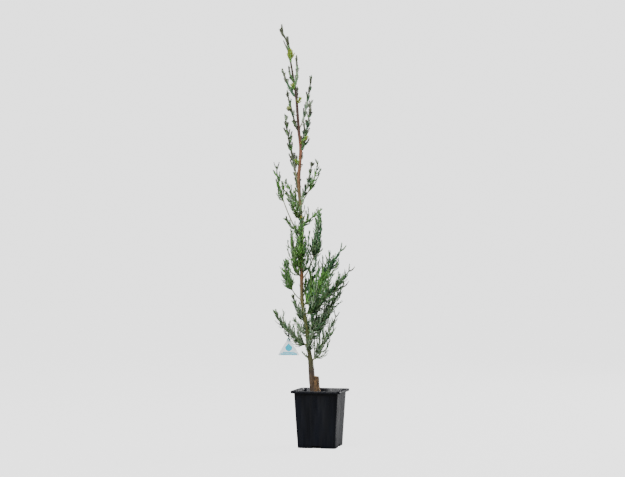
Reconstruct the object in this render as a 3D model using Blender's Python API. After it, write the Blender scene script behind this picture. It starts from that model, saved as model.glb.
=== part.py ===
"""A young Italian cypress in a square nursery pot, with a hang tag on one low bough.

Metres, +Z up. The origin is the centre of the pot's flat underside, and the pot's sides lie along X and Y.
The plant stands turned in its pot, so it is laid out in a frame of its own that hangs from the empty "plant":
there a turn of 0 degrees is to the plant's right (+X), 90 to its back, 180 to its left and 270 to its front.
Every limb grows by one rule from its row in LIMBS: a stem, side shoots round it, and sprays along each shoot.
"""

import math
import random
from dataclasses import dataclass

import bmesh
import bpy
import numpy as np
from mathutils import Matrix, Vector

GAP = 0.0003  # left between two pieces that meet
UP = Vector((0, 0, 1))
PLANT_TURN = math.radians(12.9)  # how far the plant is turned from the pot's front

# The pot: a moulded square tub, 10 x 10 x 11 cm, with a turned-down lip and a drain slot in each side's foot
POT_HEIGHT = 0.111
LIP_SIDE = 0.100
BODY_TOP_SIDE = 0.0890
BODY_FOOT_SIDE = 0.0760
TOP_CORNER = 0.0090
FOOT_CORNER = 0.0065
CORNER_STEPS = 3
WALL = 0.0012
LIP_DROP = 0.0045
FLOOR = 0.0016
SLOT_WIDTH = 0.0185
SLOT_HEIGHT = 0.0045
SLOT_DEPTH = 0.0090
FLOOR_HOLE_RADIUS = 0.0035
FLOOR_HOLE_OUT = 0.0170

# The potting soil fills the pot to a little below its lip
SOIL_BELOW_LIP = 0.012
SOIL_TOP = POT_HEIGHT - SOIL_BELOW_LIP

# The trunk's centreline, from its foot on the soil to where the green leader starts: height, x, y and radius
TRUNK_FOOT = SOIL_TOP + GAP
TRUNK_TOP = 0.763
TRUNK_LINE = (
    (TRUNK_FOOT, -0.0120, 0.0000, 0.0085),
    (0.1080, -0.0130, 0.0002, 0.0064),
    (0.1300, -0.0162, 0.0010, 0.0053),
    (0.1540, -0.0180, 0.0020, 0.0047),
    (0.1740, -0.0200, 0.0020, 0.0037),
    (0.1980, -0.0240, 0.0008, 0.0034),
    (0.2260, -0.0262, -0.0010, 0.0032),
    (0.2850, -0.0358, -0.0040, 0.0030),
    (0.3600, -0.0370, -0.0050, 0.0028),
    (0.4370, -0.0374, -0.0020, 0.0028),
    (0.5230, -0.0425, 0.0030, 0.0028),
    (0.5870, -0.0393, 0.0060, 0.0026),
    (0.6260, -0.0428, 0.0050, 0.0024),
    (0.6940, -0.0480, 0.0020, 0.0020),
    (0.7300, -0.0536, 0.0000, 0.0016),
    (TRUNK_TOP, -0.0590, -0.0020, 0.0013),
)
LEADER_LINE = (
    (TRUNK_TOP + GAP, -0.0590, -0.0020, 0.0013),
    (0.7910, -0.0626, -0.0030, 0.0011),
    (0.8100, -0.0695, -0.0030, 0.0010),
    (0.8210, -0.0750, -0.0025, 0.0012),
    (0.8315, -0.0757, -0.0020, 0.0008),
)
TRUNK_SIDES = 8
TRUNK_STEPS = 30
TRUNK_FINE_STEPS = 400  # for the line that the limbs are set on

# The sawn-off rootstock beside the trunk, which was grafted low on its side
STUB_FOOT = Vector((-0.0068, -0.0020, TRUNK_FOOT))
STUB_TOP = Vector((-0.0082, -0.0022, 0.1375))
STUB_FOOT_RADIUS = 0.0082
STUB_TOP_RADIUS = 0.0054
STUB_FLARE = 1.6  # how quickly its foot narrows
STUB_CUT_TILT = math.radians(9)
STUB_STEPS = 4

# Stems
CROTCH = 0.0045  # a limb leaves the trunk aslant to this distance before it follows its own line
SWAY = 0.035  # sideways wander of a stem, as a share of its length
SWING = (0.6, 1.0)  # how much of that sway one stem has
LINE_STEPS = 60
STEM_FINE_STEPS = 1200  # while its root is looked for on the trunk's surface
STEM_STEP = 0.013
STEM_SIDES = 4
BOUGH_STEP = 0.009
BOUGH_SIDES = 6
ROOT_RADIUS = 0.00150
TIP_RADIUS = 0.00060
LEAST_ROOT_RADIUS = 0.00090
THICK_LENGTH = 0.150  # a stem this long has ROOT_RADIUS at its foot
THICK_POWER = 0.5  # how a shorter stem's root thins with its length
THINNING_POWER = 0.8  # how soon a stem thins on its way to its tip
HEADING_STEP = 0.0005  # over which a line's direction is measured

# Side shoots are toothed blades, set round their stem by the golden angle. Each tooth is a spray.
GOLDEN_TURN = math.radians(137.5)
PLACES = (0.25, 0.75)  # where in its own stretch of the stem a shoot may start
SPREAD = (0.8, 1.2)  # how far lengths and leans vary, as shares
TURN_SPREAD = 0.4  # and turns, in radians
SHOOT_LEAN = math.radians(38)
SHOOT_BEND = 0.45  # share of a shoot below its bend
SHOOT_LIFT = 0.40  # how far a shoot turns upward at its bend
SHOOT_TAPER = 0.55  # the length that a shoot loses from the stem's foot to its tip
SHOOT_TWIST = math.radians(35)  # how far a blade may be turned about its own line
SHOOT_HALF_WIDTH = 0.00125
SHOOT_HALF_THICKNESS = 0.00110
SHOOT_THINNING = 0.5  # the width and thickness that a shoot loses to its tip
SPRAY_PITCH = 0.0074
SPRAY_FROM = 0.0150  # a shorter shoot has none
SPRAY_FIRST = 0.15  # where a shoot's sprays start and end, as shares of its length
SPRAY_LAST = 0.74
SPRAY_SHARE = 0.54  # the first spray's length as a share of its shoot's
SPRAY_TAPER = 0.65  # the length that sprays lose to the shoot's tip
SPRAY_LEAN = math.radians(27)
SPRAY_RADIUS = 0.00070
CLEARANCE = 0.0005  # between foliage and anything of another node
ROOM_TESTS = 9  # points along a rod where its room is tested

# The leader's few long shoots, and the close tuft of fresh sprays low on it
LEADER_SHOOT = 0.030
LEADER_PITCH = 0.0140
TUFT_LOW = 0.766
TUFT_HIGH = 0.792
TUFT_SHOOTS = 5
TUFT_SHOOT = 0.0140
TUFT_LEAN = 0.5

# The hang tag: a triangular card on a looped tie that hangs from a bough
TAG_LIMB = "left_low"
TAG_ALONG = 0.50  # where the tie hangs, as a share of the limb's length
TAG_WIDTH = 0.043
TAG_HEIGHT = 0.036
TAG_THICKNESS = 0.0008
TAG_CORNER = 0.0026
TAG_CORNER_STEPS = 4
TAG_HOLE_RADIUS = 0.0016
TAG_HOLE_BELOW_TOP = 0.0046
TIE_DROP = 0.0140
TIE_RADIUS = 0.0005
TIE_HALF_WIDTH = 0.0026
TIE_ARC_STEPS = 6

ROUND_HOLE_SIDES = 14
SHARP_EDGE = math.radians(50)
NOT_UPRIGHT = Vector((0.31, 0.22, 0.92))  # no line here runs along this, so spokes are measured from it


@dataclass(frozen=True)
class Limb:
    """One limb of the plant, from its foot on the trunk to its tip."""

    name: str
    foot: float  # height of its foot on the trunk
    turn: float  # which way it grows, in degrees round the trunk
    reach: float  # from the trunk's centreline out to its tip
    rise: float  # from its foot up to its tip
    bow: float  # 1 is straight, and more leaves the trunk flatter and then turns upward
    bare: float  # share of it that is bare bough; 0 has foliage from the trunk on
    shoot: float  # length of its longest side shoots
    pitch: float  # along the stem, from shoot to shoot


LIMBS = (
    # the skirt of the plant, under 0.30 m
    Limb("low_right", 0.166, 348, 0.051, 0.091, 1.1, 0.38, 0.031, 0.0101),
    Limb("low_left", 0.171, 182, 0.017, 0.016, 1.3, 0.00, 0.008, 0.0101),
    Limb("low_front", 0.188, 285, 0.016, 0.050, 1.8, 0.00, 0.018, 0.0119),
    Limb("left_low", 0.197, 186, 0.065, 0.067, 1.35, 0.27, 0.026, 0.0095),
    Limb("right_low", 0.209, 28, 0.056, 0.066, 1.2, 0.25, 0.030, 0.0113),
    Limb("back_low", 0.214, 72, 0.052, 0.078, 1.4, 0.28, 0.030, 0.0143),
    Limb("left_inner", 0.219, 150, 0.028, 0.030, 1.2, 0.00, 0.021, 0.0107),
    Limb("right_main", 0.223, 352, 0.072, 0.092, 1.1, 0.42, 0.034, 0.0095),
    Limb("left_mid", 0.249, 195, 0.024, 0.045, 1.2, 0.00, 0.022, 0.0113),
    Limb("right_front", 0.258, 334, 0.099, 0.088, 1.1, 0.22, 0.038, 0.0101),
    Limb("right_back", 0.276, 30, 0.087, 0.113, 1.1, 0.20, 0.037, 0.0113),
    Limb("left_tuft", 0.287, 190, 0.033, 0.075, 2.4, 0.34, 0.025, 0.0089),
    Limb("back_mid", 0.292, 66, 0.075, 0.100, 1.5, 0.25, 0.036, 0.0154),
    # the middle, up to 0.50 m
    Limb("fork_right", 0.330, 354, 0.034, 0.136, 2.8, 0.22, 0.027, 0.0119),
    Limb("fork_left", 0.332, 208, 0.021, 0.090, 2.4, 0.00, 0.024, 0.0119),
    Limb("fork_inner", 0.338, 310, 0.023, 0.086, 2.8, 0.00, 0.021, 0.0131),
    Limb("left_back", 0.345, 138, 0.030, 0.084, 2.0, 0.00, 0.023, 0.0154),
    Limb("centre_back", 0.358, 95, 0.030, 0.088, 2.2, 0.00, 0.024, 0.0154),
    Limb("centre_front", 0.364, 262, 0.017, 0.082, 2.2, 0.00, 0.022, 0.0089),
    Limb("left_long", 0.414, 178, 0.050, 0.140, 1.7, 0.55, 0.026, 0.0124),
    Limb("left_short", 0.420, 200, 0.034, 0.029, 1.2, 0.00, 0.018, 0.0119),
    Limb("right_short", 0.431, 318, 0.018, 0.041, 2.2, 0.00, 0.010, 0.0136),
    Limb("right_twig", 0.437, 20, 0.042, 0.033, 1.1, 0.00, 0.017, 0.0154),
    Limb("front_high", 0.443, 275, 0.009, 0.056, 1.8, 0.00, 0.009, 0.0124),
    Limb("left_lower", 0.452, 222, 0.032, 0.034, 1.2, 0.00, 0.019, 0.0113),
    Limb("left_middle", 0.469, 192, 0.030, 0.031, 1.2, 0.00, 0.015, 0.0124),
    Limb("left_upper", 0.480, 160, 0.031, 0.048, 1.2, 0.00, 0.016, 0.0131),
    Limb("right_high", 0.481, 24, 0.040, 0.084, 1.5, 0.30, 0.022, 0.0143),
    Limb("front_right", 0.487, 318, 0.033, 0.072, 1.6, 0.00, 0.014, 0.0166),
    Limb("back_high", 0.497, 104, 0.036, 0.082, 1.6, 0.00, 0.015, 0.0178),
    # the thin top
    Limb("left_top", 0.524, 162, 0.029, 0.133, 1.05, 0.34, 0.020, 0.0154),
    Limb("back_top", 0.562, 74, 0.026, 0.086, 1.6, 0.00, 0.012, 0.0190),
    Limb("right_top", 0.585, 330, 0.021, 0.097, 1.8, 0.00, 0.018, 0.0202),
    Limb("left_thin", 0.625, 205, 0.025, 0.079, 1.1, 0.00, 0.013, 0.0202),
    Limb("right_thin", 0.630, 26, 0.029, 0.108, 1.3, 0.30, 0.015, 0.0190),
    Limb("back_thin", 0.689, 82, 0.010, 0.026, 1.3, 0.00, 0.007, 0.0143),
    Limb("left_crown", 0.693, 170, 0.029, 0.058, 1.2, 0.00, 0.011, 0.0190),
    Limb("right_crown", 0.715, 300, 0.010, 0.060, 2.2, 0.00, 0.008, 0.0213),
    Limb("left_tip", 0.723, 208, 0.012, 0.031, 1.3, 0.00, 0.007, 0.0178),
)


# Lines


def spline(rows, steps):
    """Points on a smooth curve through rows of numbers, evenly stepped from the first row to the last."""
    rows = np.array(rows, float)
    padded = np.vstack([2 * rows[0] - rows[1], rows, 2 * rows[-1] - rows[-2]])
    made = []
    for place in np.linspace(0, len(rows) - 1, steps + 1):
        i = min(int(place), len(rows) - 2)
        t = place - i
        a, b, c, d = padded[i : i + 4]
        curve = 2 * b + (c - a) * t + (2 * a - 5 * b + 4 * c - d) * t**2
        made.append(0.5 * (curve + (3 * b - a - 3 * c + d) * t**3))
    return np.array(made)


class Line:
    """A line through points, with a radius at each."""

    def __init__(self, points, radii):
        self.points = [Vector(p) for p in points]
        self.radii = [float(r) for r in radii]
        steps = [(b - a).length for a, b in zip(self.points, self.points[1:])]
        self.along = np.concatenate([[0], np.cumsum(steps)])
        self.length = float(self.along[-1])
        self.columns = np.array([tuple(p) for p in self.points]).T

    @classmethod
    def through(cls, rows, steps):
        """A smooth line through rows of height, x, y and radius."""
        line = spline(rows, steps)
        return cls([(x, y, z) for z, x, y, _ in line], line[:, 3])

    def at(self, distance):
        return Vector([np.interp(distance, self.along, column) for column in self.columns])

    def heading(self, distance):
        near = max(0, min(distance, self.length - HEADING_STEP))
        return (self.at(near + HEADING_STEP) - self.at(near)).normalized()

    def part(self, start, end, steps):
        """The line from one distance along it to another, in even steps."""
        places = np.linspace(start, end, steps + 1)
        return Line([self.at(s) for s in places], np.interp(places, self.along, self.radii))


TRUNK = Line.through(TRUNK_LINE, TRUNK_FINE_STEPS)


def trunk_at(height):
    """The trunk's centre, radius and heading at a height."""
    along = np.interp(height, TRUNK.columns[2], TRUNK.along)
    return TRUNK.at(along), float(np.interp(along, TRUNK.along, TRUNK.radii)), TRUNK.heading(along)


def stem_line(limb):
    """A limb's stem, from the trunk's surface to its tip, and the way that the surface faces at its root."""
    chance = random.Random(limb.name)
    phase, swing = chance.uniform(0, math.tau), chance.uniform(*SWING)
    foot = trunk_at(limb.foot)[0]
    turn = math.radians(limb.turn)
    out = Vector((math.cos(turn), math.sin(turn), 0))
    side = UP.cross(out)
    length = math.hypot(limb.reach, limb.rise)
    points = []
    for t in np.linspace(0, 1, STEM_FINE_STEPS):
        rise = limb.rise * t
        crotch = CROTCH * (1 - math.exp(-rise / CROTCH))
        away = crotch + (limb.reach - CROTCH) * (1 - (1 - t) ** limb.bow)
        sway = SWAY * length * swing * t * math.sin(phase + math.tau * t)
        point = foot + out * away + side * sway + UP * rise
        if not points:
            centre, radius, heading = trunk_at(point.z)
            if heading.cross(point - centre).length < radius + GAP:
                continue
            seat = (point - centre - heading * heading.dot(point - centre)).normalized()
        points.append(point)
    root = max(LEAST_ROOT_RADIUS, ROOT_RADIUS * min(1, length / THICK_LENGTH) ** THICK_POWER)
    radii = root + (TIP_RADIUS - root) * np.linspace(0, 1, len(points)) ** THINNING_POWER
    line = Line(points, radii)
    return line.part(0, line.length, LINE_STEPS), seat


def across(direction, roll):
    """A unit vector square to a direction, at an angle round it."""
    first = direction.cross(NOT_UPRIGHT).normalized()
    return Matrix.Rotation(roll, 3, direction) @ first


# Room for each piece


class Room:
    """The space that is taken, as round-ended rods, each with the node that it belongs to."""

    def __init__(self):
        self.rods = []
        self.owners = []

    def take(self, points, radius, owner):
        for start, end in zip(points, points[1:]):
            self.rods.append((*start, *end, radius))
            self.owners.append(owner)

    def has(self, points, radius, owner):
        """Whether rods along points stay clear of every other node's."""
        rods = np.array(self.rods)[[other != owner for other in self.owners]]
        for start, end in zip(points, points[1:]):
            for share in np.linspace(0, 1, ROOM_TESTS):
                apart = distances(np.array(start.lerp(end, share)), rods)
                if (apart < rods[:, 6] + radius + CLEARANCE).any():
                    return False
        return True


def distances(point, rods):
    """From a point to the centreline of each rod."""
    starts, ways = rods[:, :3], rods[:, 3:6] - rods[:, :3]
    shares = ((point - starts) * ways).sum(axis=1) / np.maximum((ways * ways).sum(axis=1), 1e-12)
    return np.linalg.norm(starts + ways * np.clip(shares, 0, 1)[:, None] - point, axis=1)


# Growth


class Shoot:
    """A side shoot: a blade along a bent line, with pairs of teeth where its sprays have room."""

    def __init__(self, line, broad, pairs):
        self.line = line
        self.broad = broad
        self.places = [0] + list(np.linspace(SPRAY_FIRST, SPRAY_LAST, pairs + 1))
        self.centres = [line.at(place * line.length) for place in self.places]
        self.ahead = [line.heading(place * line.length) for place in self.places]
        self.notches = {}
        for side in (1, -1):
            for k, place in enumerate(self.places):
                later = (self.places[k + 1] - place) / 2 if side < 0 and 1 < k <= pairs else 0
                edge = broad * side * SHOOT_HALF_WIDTH * (1 - SHOOT_THINNING * place)
                self.notches[side, k] = line.at((place + later) * line.length) + edge
        self.sprays = {}

    def add_spray(self, side, k, length, lean):
        """A tooth that starts at a notch, given by its tip."""
        way = self.ahead[k] * math.cos(lean) + self.broad * side * math.sin(lean)
        self.sprays[side, k] = self.notches[side, k] + way * length

    def mesh(self):
        """The blade's two faces, each ridged along its middle and from there out along each tooth."""
        bm = bmesh.new()
        tip = bm.verts.new(self.line.points[-1])
        notches = {key: bm.verts.new(place) for key, place in self.notches.items()}
        teeth = {key: bm.verts.new(place) for key, place in self.sprays.items()}
        last = len(self.centres) - 1
        ridges = []
        for face in (1, -1):
            ridge = []
            for centre, ahead, place in zip(self.centres, self.ahead, self.places):
                rise = ahead.cross(self.broad) * SHOOT_HALF_THICKNESS * (1 - SHOOT_THINNING * place)
                ridge.append(bm.verts.new(centre + rise * face))
            ridges.append(ridge)
            for side in (1, -1):
                edge = [notches[side, k] for k in range(last + 1)]
                for k in range(last):
                    tooth = teeth.get((side, k))
                    if tooth:
                        bm.faces.new((ridge[k], edge[k], tooth))
                        bm.faces.new((ridge[k], tooth, edge[k + 1]))
                    else:
                        bm.faces.new((ridge[k], edge[k], edge[k + 1]))
                    bm.faces.new((ridge[k], edge[k + 1], ridge[k + 1]))
                bm.faces.new((ridge[last], edge[last], tip))
        bm.faces.new((ridges[0][0], notches[1, 0], ridges[1][0], notches[-1, 0]))
        return bm


def grow(name, stem, shoot_length, pitch, room):
    """The shoots round a stem, by its own seed, where there is room for them and for each of their sprays."""
    chance = random.Random(name)
    count = max(2, round(stem.length / pitch))
    grown = []
    for i in range(count):
        share = (i + chance.uniform(*PLACES)) / count
        roll = i * GOLDEN_TURN + chance.uniform(-TURN_SPREAD, TURN_SPREAD)
        size = shoot_length * (1 - SHOOT_TAPER * share) * chance.uniform(*SPREAD)
        shoot = shoot_on(stem, share * stem.length, roll, size, chance)
        sprays = wanted_sprays(shoot, size, chance)
        clear_of_root = share * stem.length > 2 * stem.radii[0]
        if clear_of_root and room.has(shoot.line.points, SHOOT_HALF_WIDTH, name):
            room.take(shoot.line.points, SHOOT_HALF_WIDTH, name)
            for side, k, length, lean in sprays:
                shoot.add_spray(side, k, length, lean)
                spray = [shoot.centres[k], shoot.sprays[side, k]]
                if room.has(spray, SPRAY_RADIUS, name):
                    room.take(spray, SPRAY_RADIUS, name)
                else:
                    del shoot.sprays[side, k]
            grown.append(shoot)
    return grown


def shoot_on(stem, distance, roll, size, chance):
    """A shoot that leaves its stem aslant and turns upward at its bend."""
    root, ahead = stem.at(distance), stem.heading(distance)
    out = across(ahead, roll)
    lean = SHOOT_LEAN * chance.uniform(*SPREAD)
    low = ahead * math.cos(lean) + out * math.sin(lean)
    high = low.lerp(UP, SHOOT_LIFT).normalized()
    bend = root + low * size * SHOOT_BEND
    line = Line([root, bend, bend + high * size * (1 - SHOOT_BEND)], [0, 0, 0])
    twist = Matrix.Rotation(chance.uniform(-SHOOT_TWIST, SHOOT_TWIST), 3, low)
    broad = (twist @ low.cross(out)).normalized()
    return Shoot(line, broad, int(size / SPRAY_PITCH) if size > SPRAY_FROM else 0)


def wanted_sprays(shoot, size, chance):
    """The side, station, length and lean of each spray that a shoot would have."""
    wanted = []
    for k, place in list(enumerate(shoot.places))[1:-1]:
        for side in (1, -1):
            length = size * SPRAY_SHARE * (1 - SPRAY_TAPER * place) * chance.uniform(*SPREAD)
            wanted.append((side, k, length, SPRAY_LEAN * chance.uniform(*SPREAD)))
    return wanted


def tuft_on(stem):
    """The close tuft of fresh shoots low on the leader, fullest at its middle."""
    chance = random.Random("tuft")
    made = []
    for i in range(TUFT_SHOOTS):
        height = TUFT_LOW + (TUFT_HIGH - TUFT_LOW) * (i + 0.5) / TUFT_SHOOTS
        root = min(stem.points, key=lambda point: abs(point.z - height))
        out = across(UP, i * GOLDEN_TURN)
        fullness = math.sin(math.pi * (i + 1) / (TUFT_SHOOTS + 1))
        way = (out * TUFT_LEAN * fullness + UP).normalized()
        length = TUFT_SHOOT * chance.uniform(*SPREAD)
        shoot = Shoot(Line([root, root + way * length], [0, 0]), way.cross(out).normalized(), 1)
        for side in (1, -1):
            shoot.add_spray(side, 1, length * SPRAY_SHARE, SPRAY_LEAN)
        made.append(shoot)
    return made


# Meshes


def material(name, colour, roughness):
    """A plain finish, with its colour in linear numbers."""
    made = bpy.data.materials.new(name)
    made.use_nodes = True
    surface = made.node_tree.nodes["Principled BSDF"]
    surface.inputs["Base Color"].default_value = (*colour, 1)
    surface.inputs["Roughness"].default_value = roughness
    surface.inputs["Metallic"].default_value = 0
    return made


def shade(mesh, finish):
    """Gives a mesh its finish, smooth with its sharp edges kept."""
    mesh.materials.clear()
    mesh.materials.append(finish)
    mesh.shade_smooth()
    mesh.set_sharp_from_angle(angle=SHARP_EDGE)


def object_from(bm, name, finish, origin=(0, 0, 0)):
    """An object from a bmesh that is drawn in its parent's frame, with its own origin at a point of that."""
    bmesh.ops.translate(bm, verts=bm.verts, vec=-Vector(origin))
    bmesh.ops.recalc_face_normals(bm, faces=bm.faces)
    mesh = bpy.data.meshes.new(name)
    bm.to_mesh(mesh)
    bm.free()
    shade(mesh, finish)
    made = bpy.data.objects.new(name, mesh)
    made.location = origin
    bpy.context.scene.collection.objects.link(made)
    return made


def skin(bm, rings):
    """A closed skin over rings of points."""
    for low, high in zip(rings, rings[1:]):
        for k in range(len(low)):
            after = (k + 1) % len(low)
            bm.faces.new((low[k], low[after], high[after], high[k]))
    bm.faces.new(rings[0])
    bm.faces.new(rings[-1])
    return bm


def rod_mesh(points, radii, sides, seat=None):
    """A tapering rod along points.

    seat is the way that the surface at its root faces: the root's corners are slid along the rod to lie flat
    on it.
    """
    bm = bmesh.new()
    last = len(points) - 1
    ahead = [(points[min(i + 1, last)] - points[max(i - 1, 0)]).normalized() for i in range(last + 1)]
    spoke = across(ahead[0], 0)
    rings = []
    for i, (centre, radius) in enumerate(zip(points, radii)):
        spoke = (spoke - ahead[i] * spoke.dot(ahead[i])).normalized()
        corners = [Matrix.Rotation(math.tau * k / sides, 3, ahead[i]) @ spoke * radius for k in range(sides)]
        if seat and i == 0:
            corners = [c - ahead[0] * (c.dot(seat) / ahead[0].dot(seat)) for c in corners]
        rings.append([bm.verts.new(centre + corner) for corner in corners])
    return skin(bm, rings)


def fuse(base, others, finish):
    """Joins closed pieces to a base by one Boolean union on their collection, which is then removed."""
    group = bpy.data.collections.new(base.name + " pieces")
    bpy.context.scene.collection.children.link(group)
    for piece in others:
        bpy.context.scene.collection.objects.unlink(piece)
        group.objects.link(piece)
    union = base.modifiers.new("union", "BOOLEAN")
    union.operation = "UNION"
    union.operand_type = "COLLECTION"
    union.collection = group
    union.solver = "EXACT"
    with bpy.context.temp_override(object=base):
        bpy.ops.object.modifier_apply(modifier=union.name)
    for piece in others:
        bpy.data.objects.remove(piece)
    bpy.data.collections.remove(group)
    shade(base.data, finish)
    return base


def cut(base, cutter):
    """Takes a cutter's shape out of a piece."""
    cutter.hide_render = True
    cutter.display_type = "WIRE"
    hole = base.modifiers.new(cutter.name, "BOOLEAN")
    hole.operation = "DIFFERENCE"
    hole.object = cutter
    hole.solver = "EXACT"


# The pot and its soil


def square_ring(bm, side, corner, height):
    """A ring of points round a square with rounded corners."""
    inset = side / 2 - corner
    ring = []
    for quarter in range(4):
        centre = Matrix.Rotation(math.pi / 2 * quarter, 3, "Z") @ Vector((inset, inset, height))
        for step in range(CORNER_STEPS + 1):
            angle = math.pi / 2 * (quarter + step / CORNER_STEPS)
            ring.append(bm.verts.new(centre + Vector((math.cos(angle), math.sin(angle), 0)) * corner))
    return ring


def square_loft(rows):
    """A closed solid through rounded squares, each row a side, a corner radius and a height."""
    bm = bmesh.new()
    return skin(bm, [square_ring(bm, *row) for row in rows])


def body_side(height):
    """The pot's outer side at a height, which tapers evenly to its foot."""
    return BODY_FOOT_SIDE + (BODY_TOP_SIDE - BODY_FOOT_SIDE) * height / POT_HEIGHT


def body_corner(height):
    return FOOT_CORNER + (TOP_CORNER - FOOT_CORNER) * height / POT_HEIGHT


def make_pot(finish):
    """The tub with its lip, four slots across the foot of its sides and four holes in its floor."""
    under_lip = POT_HEIGHT - WALL
    lip_foot = POT_HEIGHT - LIP_DROP
    lip_corner = TOP_CORNER + (LIP_SIDE - BODY_TOP_SIDE) / 2
    walls = 2 * WALL
    profile = (
        (BODY_FOOT_SIDE, FOOT_CORNER, 0),
        (body_side(under_lip), body_corner(under_lip), under_lip),
        (LIP_SIDE - walls, lip_corner - WALL, under_lip),
        (LIP_SIDE - walls, lip_corner - WALL, lip_foot),
        (LIP_SIDE, lip_corner, lip_foot),
        (LIP_SIDE, lip_corner, POT_HEIGHT),
        (BODY_TOP_SIDE - walls, TOP_CORNER - WALL, POT_HEIGHT),
        (body_side(FLOOR) - walls, body_corner(FLOOR) - WALL, FLOOR),
    )
    pot = object_from(square_loft(profile), "pot", finish)
    for quarter in range(4):
        turn = Matrix.Rotation(math.pi / 2 * quarter, 3, "Z")
        bpy.ops.mesh.primitive_cube_add(size=1, location=turn @ Vector((BODY_FOOT_SIDE / 2, 0, 0)))
        slot = bpy.context.object
        slot.name = f"slot_cutter_{quarter}"
        slot.rotation_euler.z = math.pi / 2 * quarter
        slot.scale = (SLOT_DEPTH, SLOT_WIDTH, 2 * SLOT_HEIGHT)
        cut(pot, slot)
        corner = turn @ Vector((FLOOR_HOLE_OUT, FLOOR_HOLE_OUT, 0))
        bpy.ops.mesh.primitive_cylinder_add(
            vertices=ROUND_HOLE_SIDES, radius=FLOOR_HOLE_RADIUS, depth=6 * FLOOR, location=corner
        )
        hole = bpy.context.object
        hole.name = f"floor_hole_cutter_{quarter}"
        cut(pot, hole)
    return pot


def make_soil(finish):
    """The block of soil, clear of the walls and the floor all round."""
    clear = 2 * (WALL + GAP)
    rows = [(body_side(z) - clear, body_corner(z) - WALL, z) for z in (FLOOR + GAP, SOIL_TOP)]
    return object_from(square_loft(rows), "soil", finish)


# The plant


def make_trunk(finish):
    """The grafted stem with its root flare, joined to the sawn-off rootstock."""
    line = Line.through(TRUNK_LINE, TRUNK_STEPS)
    foot = line.points[0]
    trunk = object_from(rod_mesh(line.points, line.radii, TRUNK_SIDES, seat=UP), "trunk", finish, foot)
    shares = np.linspace(0, 1, STUB_STEPS + 1)
    centres = [STUB_FOOT.lerp(STUB_TOP, s) for s in shares]
    radii = STUB_TOP_RADIUS + (STUB_FOOT_RADIUS - STUB_TOP_RADIUS) * (1 - shares) ** STUB_FLARE
    stub = rod_mesh(centres, radii, TRUNK_SIDES, seat=UP)
    stub.verts.ensure_lookup_table()
    for corner in stub.verts[-TRUNK_SIDES:]:
        corner.co.z -= (corner.co.x - STUB_TOP.x) * math.tan(STUB_CUT_TILT)
    return fuse(trunk, [object_from(stub, "rootstock", finish, foot)], finish)


def make_foliage(name, stem, grown, finish, seat=None):
    """One mass: its stem, with every shoot and spray fused on."""
    line = stem.part(0, stem.length, max(3, round(stem.length / STEM_STEP)))
    origin = line.points[0]
    base = object_from(rod_mesh(line.points, line.radii, STEM_SIDES, seat), name, finish, origin)
    return fuse(base, [object_from(piece.mesh(), "piece", finish, origin) for piece in grown], finish)


def make_bough(limb, line, seat, finish):
    bough = rod_mesh(line.points, line.radii, BOUGH_SIDES, seat)
    return object_from(bough, "bough_" + limb.name, finish, line.points[0])


def make_plant(bark, leaves, room):
    """The trunk, the boughs and every mass of foliage, in the plant's own frame."""
    made = [make_trunk(bark)]
    trunk = Line.through(TRUNK_LINE, TRUNK_STEPS)
    for i, radius in enumerate(trunk.radii[:-1]):
        room.take(trunk.points[i : i + 2], radius, "trunk")
    masses = []
    for limb in LIMBS:
        line, seat = stem_line(limb)
        start = limb.bare * line.length
        if limb.bare:
            bough = line.part(0, start, max(3, round(start / BOUGH_STEP)))
            made.append(make_bough(limb, bough, seat, bark))
            room.take(bough.points, bough.radii[0], "bough_" + limb.name)
            start, seat = start + GAP, None
        stem = line.part(start, line.length, LINE_STEPS)
        room.take(stem.points, stem.radii[0], "foliage_" + limb.name)
        masses.append((limb, stem, seat))
    leader = Line.through(LEADER_LINE, LINE_STEPS)
    room.take(leader.points, leader.radii[0], "foliage_leader")
    grown = grow("foliage_leader", leader, LEADER_SHOOT, LEADER_PITCH, room) + tuft_on(leader)
    made.append(make_foliage("foliage_leader", leader, grown, leaves))
    for limb, stem, seat in masses:
        name = "foliage_" + limb.name
        made.append(make_foliage(name, stem, grow(name, stem, limb.shoot, limb.pitch, room), leaves, seat))
    return made


# The tag


def tag_outline(top):
    """The card's triangle with rounded corners, point uppermost, as points in the XZ plane."""
    half = TAG_WIDTH / 2
    corners = [top, top + Vector((half, 0, -TAG_HEIGHT)), top + Vector((-half, 0, -TAG_HEIGHT))]
    outline = []
    for i, corner in enumerate(corners):
        before = (corners[i - 1] - corner).normalized()
        after = (corners[(i + 1) % 3] - corner).normalized()
        inward = (before + after).normalized()
        half_angle = before.angle(after) / 2
        centre = corner + inward * TAG_CORNER / math.sin(half_angle)
        sweep = math.pi - 2 * half_angle
        for step in range(TAG_CORNER_STEPS + 1):
            turn = Matrix.Rotation(sweep * (step / TAG_CORNER_STEPS - 0.5), 3, "Y")
            outline.append(centre + turn @ -inward * TAG_CORNER)
    return outline


def make_tie(hang, finish, room):
    """The looped tie, a closed ring whose upper end goes over the tagged limb."""
    arc = [math.pi * step / TIE_ARC_STEPS for step in range(TIE_ARC_STEPS + 1)]
    over = [Vector((0, math.cos(a), math.sin(a))) * TIE_HALF_WIDTH for a in arc]
    under = [-point - UP * TIE_DROP for point in over]
    loop = bpy.data.curves.new("tag_tie", "CURVE")
    loop.dimensions = "3D"
    loop.bevel_depth = TIE_RADIUS
    loop.bevel_resolution = 1
    loop.materials.append(finish)
    ring = loop.splines.new("POLY")
    ring.points.add(len(over + under) - 1)
    for point, place in zip(ring.points, over + under):
        point.co = (*place, 1)
    ring.use_cyclic_u = True
    tie = bpy.data.objects.new("tag_tie", loop)
    tie.location = hang
    bpy.context.scene.collection.objects.link(tie)
    room.take([hang + place for place in over + under], TIE_RADIUS, "tag_tie")
    return tie


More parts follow.
